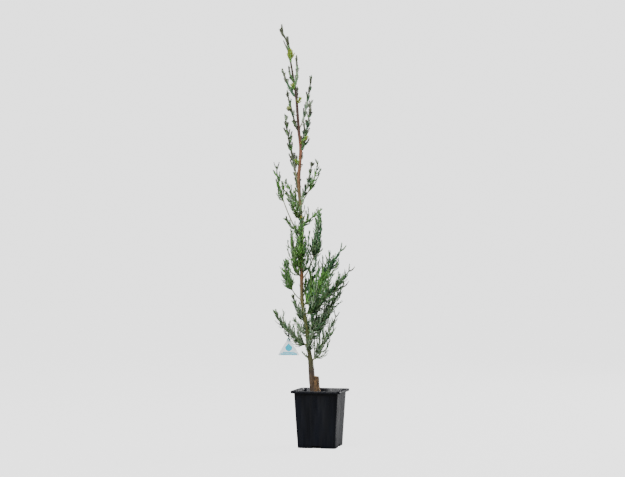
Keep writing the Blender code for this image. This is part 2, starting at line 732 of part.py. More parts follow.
def make_tag(card, cord, room):
    """The card on its tie, which hangs from the tagged limb and goes through the card's hole."""
    line, _ = stem_line(next(limb for limb in LIMBS if limb.name == TAG_LIMB))
    along = TAG_ALONG * line.length
    limb_top = float(np.interp(along, line.along, line.radii)) / math.hypot(*line.heading(along)[:2])
    hang = line.at(along) + UP * (limb_top + GAP + TIE_RADIUS - TIE_HALF_WIDTH)
    tie = make_tie(hang, cord, room)
    hole = hang - UP * (TIE_DROP + TIE_HALF_WIDTH - TIE_RADIUS - GAP + TAG_HOLE_RADIUS)
    outline = tag_outline(hole + UP * TAG_HOLE_BELOW_TOP)
    bm = bmesh.new()
    half = Vector((0, TAG_THICKNESS / 2, 0))
    skin(bm, [[bm.verts.new(p - half) for p in outline], [bm.verts.new(p + half) for p in outline]])
    tag = object_from(bm, "tag", card, hole)
    bpy.ops.mesh.primitive_cylinder_add(
        vertices=ROUND_HOLE_SIDES,
        radius=TAG_HOLE_RADIUS,
        depth=8 * TAG_THICKNESS,
        location=hole,
        rotation=(math.pi / 2, 0, 0),
    )
    punch = bpy.context.object
    punch.name = "tag_hole_cutter"
    cut(tag, punch)
    for a, b in zip(outline, outline[1:] + outline[:1]):
        room.take([hole, a, b], TAG_THICKNESS, "tag")
    return [tag, tie, punch]


def main():
    for old in list(bpy.data.objects):
        bpy.data.objects.remove(old)
    plastic = material("black plastic", (0.012, 0.013, 0.016), 0.45)
    peat = material("peat", (0.030, 0.020, 0.014), 0.95)
    bark = material("bark", (0.110, 0.062, 0.036), 0.85)
    leaves = material("scale leaves", (0.045, 0.110, 0.030), 0.60)
    card = material("tag card", (0.800, 0.830, 0.840), 0.40)
    cord = material("tag tie", (0.015, 0.015, 0.015), 0.60)
    make_pot(plastic)
    make_soil(peat)
    plant = bpy.data.objects.new("plant", None)
    bpy.context.scene.collection.objects.link(plant)
    plant.rotation_euler.z = PLANT_TURN
    room = Room()
    for piece in make_tag(card, cord, room) + make_plant(bark, leaves, room):
        piece.parent = plant


main()
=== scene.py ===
"""The looks of a young Italian cypress in a square nursery pot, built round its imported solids.

Metres, +Z up, with the origin under the pot, whose sides lie along X and Y. The plant is laid out in a frame
of its own, turned in the pot: there +X is the plant's right, and a turn of 270 degrees is to its front.
Its limbs, shoots and sprays grow by the rule that the solids follow, with the same seeds, and go on from
there to finer twigs and to the scale leaves on them.
"""

import logging
import math
import random
from collections.abc import Callable
from dataclasses import dataclass, replace
from enum import Enum
from itertools import combinations, product

import bmesh
import bpy
import numpy as np
from mathutils import Matrix, Vector, noise


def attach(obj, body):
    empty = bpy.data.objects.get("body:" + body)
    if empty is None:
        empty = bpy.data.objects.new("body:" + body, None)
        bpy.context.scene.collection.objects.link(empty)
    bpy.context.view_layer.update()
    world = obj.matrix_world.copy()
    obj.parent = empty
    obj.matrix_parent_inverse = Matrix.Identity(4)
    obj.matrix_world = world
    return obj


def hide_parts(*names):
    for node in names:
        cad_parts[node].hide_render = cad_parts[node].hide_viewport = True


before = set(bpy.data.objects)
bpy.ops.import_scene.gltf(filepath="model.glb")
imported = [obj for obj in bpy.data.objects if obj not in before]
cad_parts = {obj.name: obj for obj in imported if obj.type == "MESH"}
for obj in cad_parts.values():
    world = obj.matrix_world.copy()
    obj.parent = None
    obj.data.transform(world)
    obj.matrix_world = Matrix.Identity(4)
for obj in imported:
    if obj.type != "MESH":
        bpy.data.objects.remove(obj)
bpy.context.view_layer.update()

Array = np.ndarray
Chance = random.Random
Material = bpy.types.Material
Node = bpy.types.Node
Piece = bpy.types.Object
Pair = tuple[float, float]
Triple = tuple[float, float, float]
Socket = bpy.types.NodeSocket
Stops = tuple[tuple[float, str], ...]  # a colour ramp's places and hex colours

LOG = logging.getLogger("cypress")
BODY = "root"  # the whole part is one body
PLANT_TURN = math.radians(12.9)  # how far the plant is turned from the pot's front
UP = np.array((0.0, 0.0, 1.0))
GAP = 0.0003  # that the solids keep between two pieces that meet
GOLDEN_TURN = math.radians(137.5)
MOST_TRIANGLES = 190_000  # of one joined piece


# Colours and nodes


def linear(colour: str) -> tuple[float, float, float, float]:
    """Turns an sRGB hex value into linear numbers.

    Args:
        colour: Six hex digits.

    Returns:
        Linear red, green and blue, and an alpha of 1.
    """
    channels = [int(colour[i : i + 2], 16) / 255 for i in (0, 2, 4)]
    red, green, blue = (c / 12.92 if c <= 0.04045 else ((c + 0.055) / 1.055) ** 2.4 for c in channels)
    return red, green, blue, 1.0


def feed(node: Node, sockets: dict) -> Node:
    """Gives a node its inputs.

    Args:
        node: The node.
        sockets: What each of its inputs takes, a value or another node's output.

    Returns:
        The node.
    """
    for name, value in sockets.items():
        if isinstance(value, Socket):
            node.id_data.links.new(value, node.inputs[name])
        else:
            node.inputs[name].default_value = value
    return node


def add_node(
    beside: Node, kind: str, sockets: dict | None = None, stops: Stops = (), **settings: object
) -> Node:
    """Adds a node with its settings and links.

    Args:
        beside: A node of the tree that it joins.
        kind: The node's type.
        sockets: What each of its inputs takes.
        stops: Its colour ramp, where it has one.
        **settings: Its own properties.

    Returns:
        The node.
    """
    node = beside.id_data.nodes.new(kind)
    for name, value in settings.items():
        setattr(node, name, value)
    if stops:
        ramp = node.color_ramp.elements
        while len(ramp) < len(stops):
            ramp.new(0.5)
        for element, (place, colour) in zip(ramp, stops):
            element.position = place
            element.color = linear(colour)
    return feed(node, sockets or {})


# Finishes


@dataclass(frozen=True)
class Finish:
    """A plain finish, which the others add their patterns to."""

    name: str
    colour: str
    roughness: float
    ior: float = 1.5
    shine: float = 0.5

    def build(self) -> Material:
        """Makes the material from its plain values and its pattern.

        Returns:
            The material.
        """
        made = bpy.data.materials.new(self.name)
        made.use_nodes = True
        plain = {"Base Color": linear(self.colour), "Roughness": self.roughness, "Metallic": 0.0}
        gloss = {"IOR": self.ior, "Specular IOR Level": self.shine}
        self.dress(feed(made.node_tree.nodes["Principled BSDF"], plain | gloss))
        return made

    def dress(self, shader: Node) -> None:
        """Adds the finish's pattern to a surface. A plain finish has none."""

    def grain(self, shader: Node, size: float, stretch: Triple = (1, 1, 1), detail: float = 3) -> Socket:
        """A noise whose grain has a real size.

        Args:
            shader: The surface.
            size: The grain's width in metres.
            stretch: How many times longer the grain is along each axis.
            detail: The noise's finer layers.

        Returns:
            The noise's value.
        """
        place = add_node(shader, "ShaderNodeTexCoord").outputs["Object"]
        scale = tuple(1 / (size * s) for s in stretch)
        scaled = add_node(shader, "ShaderNodeMapping", {"Vector": place, "Scale": scale})
        sockets = {"Vector": scaled.outputs["Vector"], "Scale": 1.0, "Detail": detail}
        return add_node(shader, "ShaderNodeTexNoise", sockets).outputs["Fac"]

    def roughen(self, shader: Node, height: Socket, depth: float) -> None:
        """Gives a surface a relief.

        Args:
            shader: The surface.
            height: The relief, from 0 to 1.
            depth: Its depth in metres.
        """
        bump = add_node(shader, "ShaderNodeBump", {"Height": height, "Strength": 1.0, "Distance": depth})
        feed(shader, {"Normal": bump.outputs["Normal"]})

    def tint(self, shader: Node, factor: Socket, stops: Stops) -> Socket:
        """Colours a surface by a pattern.

        Args:
            shader: The surface.
            factor: The pattern.
            stops: The colours.

        Returns:
            The ramp's colour.
        """
        colour = add_node(shader, "ShaderNodeValToRGB", {"Fac": factor}, stops).outputs["Color"]
        feed(shader, {"Base Color": colour})
        return colour


@dataclass(frozen=True)
class MouldedPolypropylene(Finish):
    """Black polypropylene, injection moulded thin: a satin skin with drawn streaks down its walls."""

    second: str = "070b16"
    streak: float = 0.0080  # drawn coarse enough to show
    streak_length: float = 12.0
    streak_depth: float = 0.00060
    mould_grain: float = 0.0006
    grain_share: float = 0.06
    polish: Pair = (0.20, 0.50)  # how rough its smooth and its rough streaks are
    cloud: float = 0.012  # width of the patches of the second colour

    def dress(self, shader: Node) -> None:
        """Adds the streaks, as relief and as more and less polish, over a fine mould grain.

        Args:
            shader: The surface.
        """
        streaks = self.grain(shader, self.streak, (1, 1, self.streak_length))
        sockets = {"Factor": self.grain_share, "A": streaks, "B": self.grain(shader, self.mould_grain)}
        both = add_node(shader, "ShaderNodeMix", sockets, data_type="FLOAT")
        self.roughen(shader, both.outputs[0], self.streak_depth)
        smooth, rough = self.polish
        sockets = {"Value": streaks, "From Min": 0.3, "From Max": 0.7, "To Min": smooth, "To Max": rough}
        feed(shader, {"Roughness": add_node(shader, "ShaderNodeMapRange", sockets).outputs["Result"]})
        clouds = self.grain(shader, self.cloud, (1, 1, 5))
        self.tint(shader, clouds, ((0.3, self.colour), (0.8, self.second)))


@dataclass(frozen=True)
class Peat(Finish):
    """Potting peat, loose and fibrous: matt, near black where it is wet and brown on its dry crumbs, and
    darker all over as painted shade for the shade inside the pot.
    """

    crumb: float = 0.0022
    depth: float = 0.0012
    # the darkest crumbs: wet peat, and painted shade of the pot's inside
    wet_and_shaded: str = "0d0906"
    dry: tuple[str, str] = ("33251a", "4c3a2a")

    def dress(self, shader: Node) -> None:
        """Adds crumbs of several browns, with a coarse relief.

        Args:
            shader: The surface.
        """
        crumbs = self.grain(shader, self.crumb, detail=6)
        self.tint(shader, crumbs, tuple(zip((0.30, 0.50, 0.68, 0.80), (self.wet_and_shaded, self.colour, *self.dry))))
        self.roughen(shader, crumbs, self.depth)


@dataclass(frozen=True)
class Bark(Finish):
    """Living bark of a young cypress: thin and fibrous, its colours in bands from the foot to the top."""

    bands: Stops = ()
    low: float = 0.099  # where the first band is, and the last
    high: float = 0.763
    drift: float = 0.030  # how far the bands wander
    patch: float = 0.006
    fibre: float = 0.0011
    fibre_length: float = 9.0
    fibre_depth: float = 0.0004
    fibre_strength: float = 0.85
    fibres: Stops = ((0.30, "5a5046"), (0.5, "bcb6a8"), (0.72, "ffffff"))

    def dress(self, shader: Node) -> None:
        """Adds the bands by height, broken by lengthwise fibres.

        Args:
            shader: The surface.
        """
        place = add_node(shader, "ShaderNodeTexCoord").outputs["Object"]
        height = add_node(shader, "ShaderNodeSeparateXYZ", {"Vector": place}).outputs["Z"]
        sockets = {0: self.grain(shader, self.patch, (1, 1, 2)), 1: self.drift, 2: height}
        uneven = add_node(shader, "ShaderNodeMath", sockets, operation="MULTIPLY_ADD").outputs[0]
        middle = self.drift / 2
        share = {"Value": uneven, "From Min": self.low + middle, "From Max": self.high + middle}
        along = add_node(shader, "ShaderNodeMapRange", share).outputs["Result"]
        band = self.tint(shader, along, self.bands)
        fibres = self.grain(shader, self.fibre, (1, 1, self.fibre_length), 4)
        light = add_node(shader, "ShaderNodeValToRGB", {"Fac": fibres}, self.fibres).outputs["Color"]
        sockets = {"Factor": self.fibre_strength, "A": band, "B": light}
        mixed = add_node(shader, "ShaderNodeMix", sockets, data_type="RGBA", blend_type="MULTIPLY")
        feed(shader, {"Base Color": mixed.outputs["Result"]})
        self.roughen(shader, fibres, self.fibre_depth)


@dataclass(frozen=True)
class Mottled(Finish):
    """A finish with a second colour that comes and goes over it, and a fine relief."""

    second: str = "808080"
    patch: float = 0.002
    stretch: Triple = (1, 1, 1)
    depth: float = 0.00015

    def dress(self, shader: Node) -> None:
        """Adds soft patches of the second colour.

        Args:
            shader: The surface.
        """
        patches = self.grain(shader, self.patch, self.stretch, 4)
        self.tint(shader, patches, ((0.35, self.colour), (0.70, self.second)))
        self.roughen(shader, patches, self.depth)


@dataclass(frozen=True)
class CutWood(Finish):
    """Softwood sawn across: pale sapwood with year rings, greyed by weather."""

    second: str = "7d6442"
    ring: float = 0.0011  # width of a year ring
    drawn: float = 3.0  # rings to a metre that the texture draws at a scale of 1, about
    wobble: float = 1.5
    centre: Triple = (0, 0, 0)
    depth: float = 0.0002

    def dress(self, shader: Node) -> None:
        """Adds rings round the pith.

        Args:
            shader: The surface.
        """
        place = add_node(shader, "ShaderNodeTexCoord").outputs["Object"]
        about = {"Vector": place, "Location": tuple(-c for c in self.centre)}
        centred = add_node(shader, "ShaderNodeMapping", about).outputs["Vector"]
        wave = {"Vector": centred, "Scale": 1 / self.ring / self.drawn, "Distortion": self.wobble}
        node = add_node(shader, "ShaderNodeTexWave", wave, wave_type="RINGS", rings_direction="Z")
        rings = node.outputs["Fac"]
        self.tint(shader, rings, ((0.0, self.second), (1.0, self.colour)))
        self.roughen(shader, rings, self.depth)


@dataclass(frozen=True)
class StudioFloor(Finish):
    """A white floor that the camera sees overexposed, as in a picture taken against white."""

    glow: float = 2.4

    def dress(self, shader: Node) -> None:
        """Adds a glow that only the camera sees.

        Args:
            shader: The surface.
        """
        seen = add_node(shader, "ShaderNodeLightPath").outputs["Is Camera Ray"]
        glow = add_node(shader, "ShaderNodeMath", {0: seen, 1: self.glow}, operation="MULTIPLY")
        feed(shader, {"Emission Color": (1, 1, 1, 1), "Emission Strength": glow.outputs[0]})


class Shade(Enum):
    """The greens that sprays are dealt in, each with a lighter green that comes and goes over it."""

    DEEP = ("294a30", "4f7552")
    # its pale second colour is partly the leaves' grey bloom and partly painted highlight
    GREY = ("62765e", "acbaa2")
    GREEN = ("3a6236", "6b8e57")
    FRESH = ("497d31", "7aad55")
    LIME = ("647626", "929f40")
    YELLOW = ("a39a2a", "c4bd55")
    DUSK = ("2f3327", "545942")


Mix = tuple[tuple[Shade, int], ...]


def mix(**counts: int) -> Mix:
    """Shades, and how many of each."""
    return tuple((Shade[name.upper()], count) for name, count in counts.items())


@dataclass(frozen=True)
class Habit:
    """How a limb's foliage grows and how its shoots are dealt their shades; those that face backward get
    darker greens, as painted shade.
    """

    front: Mix  # the shades of shoots that face forward, and how many of each
    # the shades of shoots that face backward: darker greens, as painted shade
    back: Mix
    rounds: int = 2  # of shoots on its stem, beyond the solid's
    full: float = 1.0  # how close its finer boughs stand
    side: float = 0.40  # the length of a finer bough, as a share of the stem's
    thick: float = 1.2  # how stout its cords are
    inner: float = 0.3  # where finer growth starts, as a share of the bare bough
    leaf: float = 1.0  # how large the longer leaves on its stem are
    fine: float = 1.0  # how close the finer sprays stand on its shoots
    slender: float = 0.78  # where on a stem its added rounds of shoots end
    lean: Pair = (1.0, 0.75)  # of its own and its added shoots, as shares of the rule's
    short: float = 1.0  # how long its added shoots are, as a share of its own
    dull_from: float = 1.0  # where on a shoot its dull tip starts
    upright: float = 0.75  # how far its finer boughs turn upward
    sheath: float = 0.0  # the radius of the scale leaves that sheathe its stem, where they do
    awl: float = 0.0  # how large the free pointed leaves on its shoots are, where it has them
    tip: Mix = mix(green=35, grey=35, dusk=30)
    tip_from: float = 0.82  # where a stem's duller tip starts

    def deal(self, chance: Chance, shaded_behind: bool, share: float = 0) -> Shade:
        """Picks a shade for a shoot.

        Args:
            chance: The draws.
            shaded_behind: Whether it faces backward, and so takes the darker greens of painted shade.
            share: Where on its stem it grows.

        Returns:
            The shade.
        """
        dealt = self.tip if share > self.tip_from else self.back if shaded_behind else self.front
        shades, weights = zip(*dealt)
        return chance.choices(shades, weights)[0]


SKIRT = Habit(
    mix(deep=15, grey=55, green=30), mix(deep=45, grey=55), rounds=6, full=1.6, inner=0, slender=0.85,
    short=0.7, lean=(0.9, 0.7),
)
PLUME = replace(SKIRT, rounds=9, full=1.8, slender=1, short=0.8, lean=(0.95, 0.75))
DENSE = Habit(
    mix(deep=40, green=40, grey=20), mix(deep=70, green=30), rounds=6, full=1.4, side=0.30, inner=0.2,
    slender=0.9, short=0.75, lean=(0.9, 0.7),
)
COLUMN = replace(
    DENSE, rounds=16, full=4.0, side=0.26, thick=1.5, inner=1.4, slender=0.85, short=0.9, lean=(0.9, 0.8)
)
SHADED = replace(DENSE, front=mix(deep=30, green=45, grey=25), full=1.8, side=0.34, inner=0, slender=0.85)
LOOSE = replace(DENSE, rounds=4, full=0.8, inner=0.3, lean=(0.8, 0.65))
# Fresh greens in the middle of a mass and deep greens at its outer ends: partly the plant's own colours,
# partly painted light on the lit front and painted shade at its edges.
BRIGHT = Habit(
    mix(fresh=72, green=20, deep=8), mix(green=45, deep=55), rounds=10, full=2.8, thick=1.3, tip_from=0.90,
    tip=mix(deep=75, green=25), inner=0, slender=0.8, short=0.7, lean=(0.9, 0.8),
)
LOBED = replace(BRIGHT, rounds=12, thick=1.55, tip_from=0.52, upright=0.55)
MIXED = Habit(
    mix(green=55, fresh=25, grey=20), mix(deep=50, green=50), rounds=5, full=1.6, inner=0, slender=0.8,
    short=0.7, lean=(0.9, 0.75), upright=0.8,
)
BUSHY = Habit(MIXED.front, SKIRT.back, rounds=8, full=2.0, slender=1, short=0.9, lean=(1, 0.9))
CLUMP = Habit(
    MIXED.front, MIXED.back, rounds=12, full=2.9, side=0.30, inner=0.85, slender=1, tip_from=1, short=0.95,
    lean=(1.15, 1.0),
)
SLIGHT = Habit(
    MIXED.front, MIXED.back, full=0.5, thick=1.8, inner=0.9, leaf=1.1, slender=1, dull_from=0.75,
    sheath=0.0013, awl=0.6,
)
THIN = Habit(
    mix(green=25, grey=15, deep=35, dusk=25), mix(deep=60, dusk=40), rounds=3, full=0, thick=2.8, inner=0.4,
    leaf=1.4, fine=0.6, slender=1, tip=mix(dusk=60, grey=40), tip_from=0.75, lean=(0.9, 0.8), dull_from=0.60,
    sheath=0.0025, awl=0.9,
)
CREST = replace(THIN, thick=3.3, sheath=0.0029, awl=1.0)
CROWN = replace(
    THIN, rounds=0, thick=3.2, fine=0.1, tip=mix(dusk=1), tip_from=0.4, lean=(0.25, 0.5), dull_from=0.4,
    sheath=0.0032,
)
SPIKE = replace(CROWN, thick=2.2, sheath=0.0020, awl=0.6)
LIME = Habit(mix(lime=80, fresh=20), mix(lime=70, green=30), thick=2.2, tip_from=1)
GOLD = Habit(mix(yellow=85, lime=15), mix(yellow=60, lime=40), thick=2.2, tip_from=1)

PLASTIC = MouldedPolypropylene("black moulded polypropylene", "030409", 0.30, 1.49, 0.4)
# its browns are kept near black partly as painted shade, for the shade inside the pot
PEAT = Peat("potting peat", "1e150e", 0.95, 1.4, 0.1)
TRUNK_BARK = Bark(
    "young cypress bark",
    "6b5540",
    0.80,
    bands=(
        (0.00, "2a1c10"), (0.04, "5a4630"), (0.07, "40342a"), (0.10, "4e4e2c"), (0.14, "5c6634"),
        (0.25, "67703a"), (0.31, "6c623a"), (0.34, "7c5f40"), (0.357, "9a663f"), (0.38, "6a4632"),
        (0.44, "5e402e"), (0.54, "545c38"), (0.60, "6a5e38"), (0.65, "82593a"), (0.73, "88563c"),
        (0.79, "573a2f"), (0.90, "40302a"), (1.00, "40402c"),
    ),
)
STUB_BARK = Mottled(
    "rootstock bark", "1b120a", 0.88, second="6e5230", patch=0.0026, stretch=(1, 1, 2.2), depth=0.0009
)
LIMB_BARK = Mottled("green bough bark", "4c4f33", 0.70, second="7f8058", patch=0.0014, stretch=(1, 1, 3))
CARD = Mottled("coated tag card", "f4fcff", 0.42, second="eaf6fb", patch=0.004, depth=0.00002)
INK = Mottled("teal print", "08b0cd", 0.45, second="28c2da", patch=0.002, depth=0.00001)
ELASTIC = Mottled("black elastic cord", "0f0f10", 0.60, second="1c1c1e", patch=0.0006, depth=0.0001)
BUD = Mottled("dark resinous bud", "2c2620", 0.50, second="4a4238", patch=0.001)
CONE = Mottled("young cone scales", "5d6a33", 0.60, second="7f8450", patch=0.0012)
FLOOR = StudioFloor("white studio floor", "464646", 0.90)


# Pieces and vectors


def pick(piece: Piece | None = None) -> None:
    """Leaves edit mode, and makes a piece the only one that is selected.

    Args:
        piece: The piece, or nothing to clear the selection.
    """
    if bpy.context.mode != "OBJECT":
        bpy.ops.object.mode_set(mode="OBJECT")
    bpy.ops.object.select_all(action="DESELECT")
    if piece:
        piece.select_set(True)
        bpy.context.view_layer.objects.active = piece


def primitive(add: Callable, name: str, scale: Triple = (1, 1, 1), **sizes: object) -> Piece:
    """Draws a primitive shape, with its place moved into its mesh.

    Args:
        add: The operator that draws it.
        name: The piece's name.
        scale: How far it is stretched along its own axes.
        **sizes: Its own sizes, its location and its rotation.

    Returns:
        The piece, whose object lies at the origin.
    """
    pick()
    add(**sizes)
    piece = bpy.context.object
    piece.name = name
    piece.scale = scale
    bpy.ops.object.transform_apply(location=True, rotation=True, scale=True)
    return piece


def modify(piece: Piece, kind: str, **settings: object) -> None:
    """Adds a modifier to a piece and applies it.

    Args:
        piece: The piece.
        kind: The modifier's type.
        **settings: Its properties.
    """
    modifier = piece.modifiers.new(kind.lower(), kind)
    for name, value in settings.items():
        setattr(modifier, name, value)
    pick(piece)
    bpy.ops.object.modifier_apply(modifier=modifier.name)


def cut_out(piece: Piece, cutter: Piece) -> None:
    """Takes a cutter's shape out of a piece.

    Args:
        piece: The piece.
        cutter: The shape, which is removed.
    """
    modify(piece, "BOOLEAN", operation="DIFFERENCE", object=cutter)
    bpy.data.objects.remove(cutter)


def link_up(name: str, data: bpy.types.ID) -> Piece:
    """Puts new data in the scene as an object.

    Args:
        name: The object's name.
        data: The mesh, curve, light or camera.

    Returns:
        The object.
    """
    made = bpy.data.objects.new(name, data)
    bpy.context.scene.collection.objects.link(made)
    return made


def dress(
    piece: Piece, material: Material, nodes: tuple[str, ...] = (), sharp: float = 60
) -> None:
    """Gives a finished piece its material, its shading and its place in the part.

    Args:
        piece: A mesh object at the origin.
        material: Its finish.
        nodes: The solids that it stands for.
        sharp: Edges over this many degrees stay sharp.
    """
    piece.data.materials.clear()
    piece.data.materials.append(material)
    piece.data.shade_smooth()
    piece.data.set_sharp_from_angle(angle=math.radians(sharp))
    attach(piece, BODY)
    if nodes:
        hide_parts(*nodes)
    LOG.info("%s: %d faces", piece.name, len(piece.data.polygons))


def turned(points: Array) -> Array:
    """Moves points from the plant's frame to the pot's."""
    c, s = math.cos(PLANT_TURN), math.sin(PLANT_TURN)
    return points @ np.array(((c, s, 0), (-s, c, 0), (0, 0, 1)))


def unit(vector: Array) -> Array:
    """A vector, or each row of several, at length 1."""
    return vector / np.linalg.norm(vector, axis=-1, keepdims=True)


def swung(vector: Array, about: Array, angle: float) -> Array:
    """A vector swung about another that is square to it."""
    return vector * math.cos(angle) + np.cross(about, vector) * math.sin(angle)


class Skins:
    """Closed skins over rings of points, joined to one mesh."""

    def __init__(self) -> None:
        """Starts with nothing."""
        self.points: list[Array] = []
        self.quads: list[Array] = [np.zeros((0, 4), int)]
        self.triangles: list[Array] = []
        self.count = 0
        self.size = 0  # in triangles
        self.nodes: set[str] = set()

    def add_rings(self, rings: Array, tip: Array | None = None) -> None:
        """Adds one skin.

        Args:
            rings: The rings' points, one row for each ring, wound to the left about the way they follow.
            tip: The point that it ends in, or nothing for a flat end.
        """
        n, m = rings.shape[:2]
        corner = np.arange(m)
        beside = (corner + 1) % m
        row, last = np.arange(n - 1)[:, None] * m, (n - 1) * m
        cells = [row + corner, row + beside, row + m + beside, row + m + corner]
        quads = np.stack(cells, axis=-1).reshape(-1, 4)
        foot = np.stack([beside, corner, np.full(m, n * m)], axis=-1)
        top = np.stack([last + corner, last + beside, np.full(m, n * m + 1)], axis=-1)
        ends = np.stack([rings[0].mean(axis=0), rings[-1].mean(axis=0) if tip is None else tip])
        self.points += [rings.reshape(-1, 3), ends]
        self.quads.append(quads + self.count)
        self.triangles.append(np.concatenate([foot, top]) + self.count)
        self.count += n * m + 2
        self.size += 2 * len(quads) + 2 * m

    def add_solids(self, points: Array, faces: Array) -> None:
        """Adds many small solids of the same faces.

        Args:
            points: The points of each solid.
            faces: The corners of each triangle.
        """
        many, each = points.shape[:2]
        starts = self.count + each * np.arange(many)
        self.points.append(points.reshape(-1, 3))
        self.triangles.append((starts[:, None, None] + faces[None]).reshape(-1, 3))
        self.count += many * each
        self.size += many * len(faces)

    def build(self, name: str) -> Piece:
        """Makes the joined mesh.

        Args:
            name: The piece's name.

        Returns:
            The piece, with its points moved from the plant's frame to the pot's.
        """
        added = (self.points, self.quads, self.triangles)
        points, quads, triangles = (np.concatenate(rows) for rows in added)
        mesh = bpy.data.meshes.new(name)
        mesh.vertices.add(len(points))
        mesh.vertices.foreach_set("co", turned(points).ravel())
        mesh.loops.add(quads.size + triangles.size)
        mesh.loops.foreach_set("vertex_index", np.concatenate([quads.ravel(), triangles.ravel()]))
        starts = np.concatenate([np.arange(len(quads)) * 4, quads.size + np.arange(len(triangles)) * 3])
        mesh.polygons.add(len(starts))
        mesh.polygons.foreach_set("loop_start", starts)
        mesh.update(calc_edges=True)
        return link_up(name, mesh)


class Piles:
    """The joined pieces of one kind, by shade, a new one started each time the last passes MOST_TRIANGLES
    triangles.
    """

    def __init__(self, kind: str) -> None:
        """Starts with an empty piece for each shade.

        Args:
            kind: What the pieces' names start with.
        """
        self.kind = kind
        self.node = ""  # the solid that what is added stands for
        self.made = {shade: [Skins()] for shade in Shade}

    def into(self, shade: Shade) -> Skins:
        """Finds the piece that takes the next shape.

        Args:
            shade: The shape's shade.

        Returns:
            The piece.
        """
        pieces = self.made[shade]
        if pieces[-1].size > MOST_TRIANGLES:
            pieces.append(Skins())
        pieces[-1].nodes.add(self.node)
        return pieces[-1]

    def build(self, finishes: dict[Shade, Material]) -> None:
        """Makes the pieces.

        Args:
            finishes: The finish of each shade.
        """
        for shade, pieces in self.made.items():
            for number, piece in enumerate(pieces):
                if piece.size:
                    made = piece.build(f"{self.kind}_{shade.name.lower()}_{number}")
                    dress(made, finishes[shade], tuple(sorted(piece.nodes)), 80)


# The plant's lines, by the rule of its solids


class Line:
    """A line through points, with a radius at each."""

    def __init__(self, points: Array, radii: Array) -> None:
        """Measures the line.

        Args:
            points: One row for each point.
            radii: The radius at each.
        """
        self.points = np.asarray(points, float)
        self.radii = np.asarray(radii, float)
        self.along = np.concatenate([[0], np.cumsum(np.linalg.norm(np.diff(self.points, axis=0), axis=1))])
        self.length = float(self.along[-1])

    @classmethod
    def through(cls, rows: tuple[tuple[float, ...], ...], steps: int) -> "Line":
        """A smooth line through rows of height, x, y and radius, in even steps from row to row.

        Args:
            rows: The rows.
            steps: How many steps it has.

        Returns:
            The line.
        """
        known = np.array(rows, float)
        padded = np.vstack([2 * known[0] - known[1], known, 2 * known[-1] - known[-2]])
        made = []
        for place in np.linspace(0, len(known) - 1, steps + 1):
            i = min(int(place), len(known) - 2)
            t = place - i
            a, b, c, d = padded[i : i + 4]
            curve = 2 * b + (c - a) * t + (2 * a - 5 * b + 4 * c - d) * t**2
            made.append(0.5 * (curve + (3 * b - a - 3 * c + d) * t**3))
        smooth = np.array(made)
        return cls(smooth[:, [1, 2, 0]], smooth[:, 3])

    def at(self, distance: float | Array) -> Array:
        """The point, or points, at a distance along it."""
        return np.stack([np.interp(distance, self.along, column) for column in self.points.T], axis=-1)

    def heading(self, distance: float) -> Array:
        """Its direction at a distance along it."""
        near = max(0.0, min(distance, self.length - HEADING_STEP))
        return unit(self.at(near + HEADING_STEP) - self.at(near))

    def radius(self, distance: float | Array) -> Array:
        """Its radius at a distance along it."""
        return np.interp(distance, self.along, self.radii)

    def up_to(self, height: float | Array) -> Array:
        """How far along it a height is reached."""
        return np.interp(height, self.points[:, 2], self.along)

    def part(self, start: float, end: float, steps: int) -> "Line":
        """Cuts a stretch out of it.

        Args:
            start: Where the stretch starts along it.
            end: Where it ends.
            steps: How many even steps it has.

        Returns:
            The stretch.
        """
        places = np.linspace(start, end, steps + 1)
        return Line(self.at(places), self.radius(places))


HEADING_STEP = 0.0005
TRUNK_FOOT = 0.0993
TRUNK_TOP = 0.763
TRUNK_LINE = (
    (TRUNK_FOOT, -0.0120, 0.0000, 0.0085),
    (0.1080, -0.0130, 0.0002, 0.0064),
    (0.1300, -0.0162, 0.0010, 0.0053),
    (0.1540, -0.0180, 0.0020, 0.0047),
    (0.1740, -0.0200, 0.0020, 0.0037),
    (0.1980, -0.0240, 0.0008, 0.0034),
    (0.2260, -0.0262, -0.0010, 0.0032),
    (0.2850, -0.0358, -0.0040, 0.0030),
    (0.3600, -0.0370, -0.0050, 0.0028),
    (0.4370, -0.0374, -0.0020, 0.0028),
    (0.5230, -0.0425, 0.0030, 0.0028),
    (0.5870, -0.0393, 0.0060, 0.0026),
    (0.6260, -0.0428, 0.0050, 0.0024),
    (0.6940, -0.0480, 0.0020, 0.0020),
    (0.7300, -0.0536, 0.0000, 0.0016),
    (TRUNK_TOP, -0.0590, -0.0020, 0.0013),
)
LEADER_LINE = (
    (TRUNK_TOP + GAP, -0.0590, -0.0020, 0.0013),
    (0.7910, -0.0626, -0.0030, 0.0011),
    (0.8100, -0.0695, -0.0030, 0.0010),
    (0.8210, -0.0750, -0.0025, 0.0012),
    (0.8315, -0.0757, -0.0020, 0.0008),
)
TRUNK = Line.through(TRUNK_LINE, 400)
LEADER_STEM = Line.through(LEADER_LINE, 60)


@dataclass(frozen=True)
class Limb:
    """One limb of the plant, from its foot on the trunk to its tip."""

    name: str
    foot: float  # height of its foot on the trunk
    turn: float  # which way it grows, in degrees round the trunk
    reach: float  # from the trunk's centreline out to its tip
    rise: float  # from its foot up to its tip
    bow: float  # 1 is straight, and more leaves the trunk flatter and then turns upward
    bare: float  # share of it that is bare bough; 0 has foliage from the trunk on
    shoot: float  # length of its longest side shoots
    pitch: float  # along the stem, from shoot to shoot
    habit: Habit

    @property
    def nodes(self) -> tuple[str, ...]:
        """The solids of this limb."""
        return ("foliage_" + self.name,) + (("bough_" + self.name,) if self.bare else ())


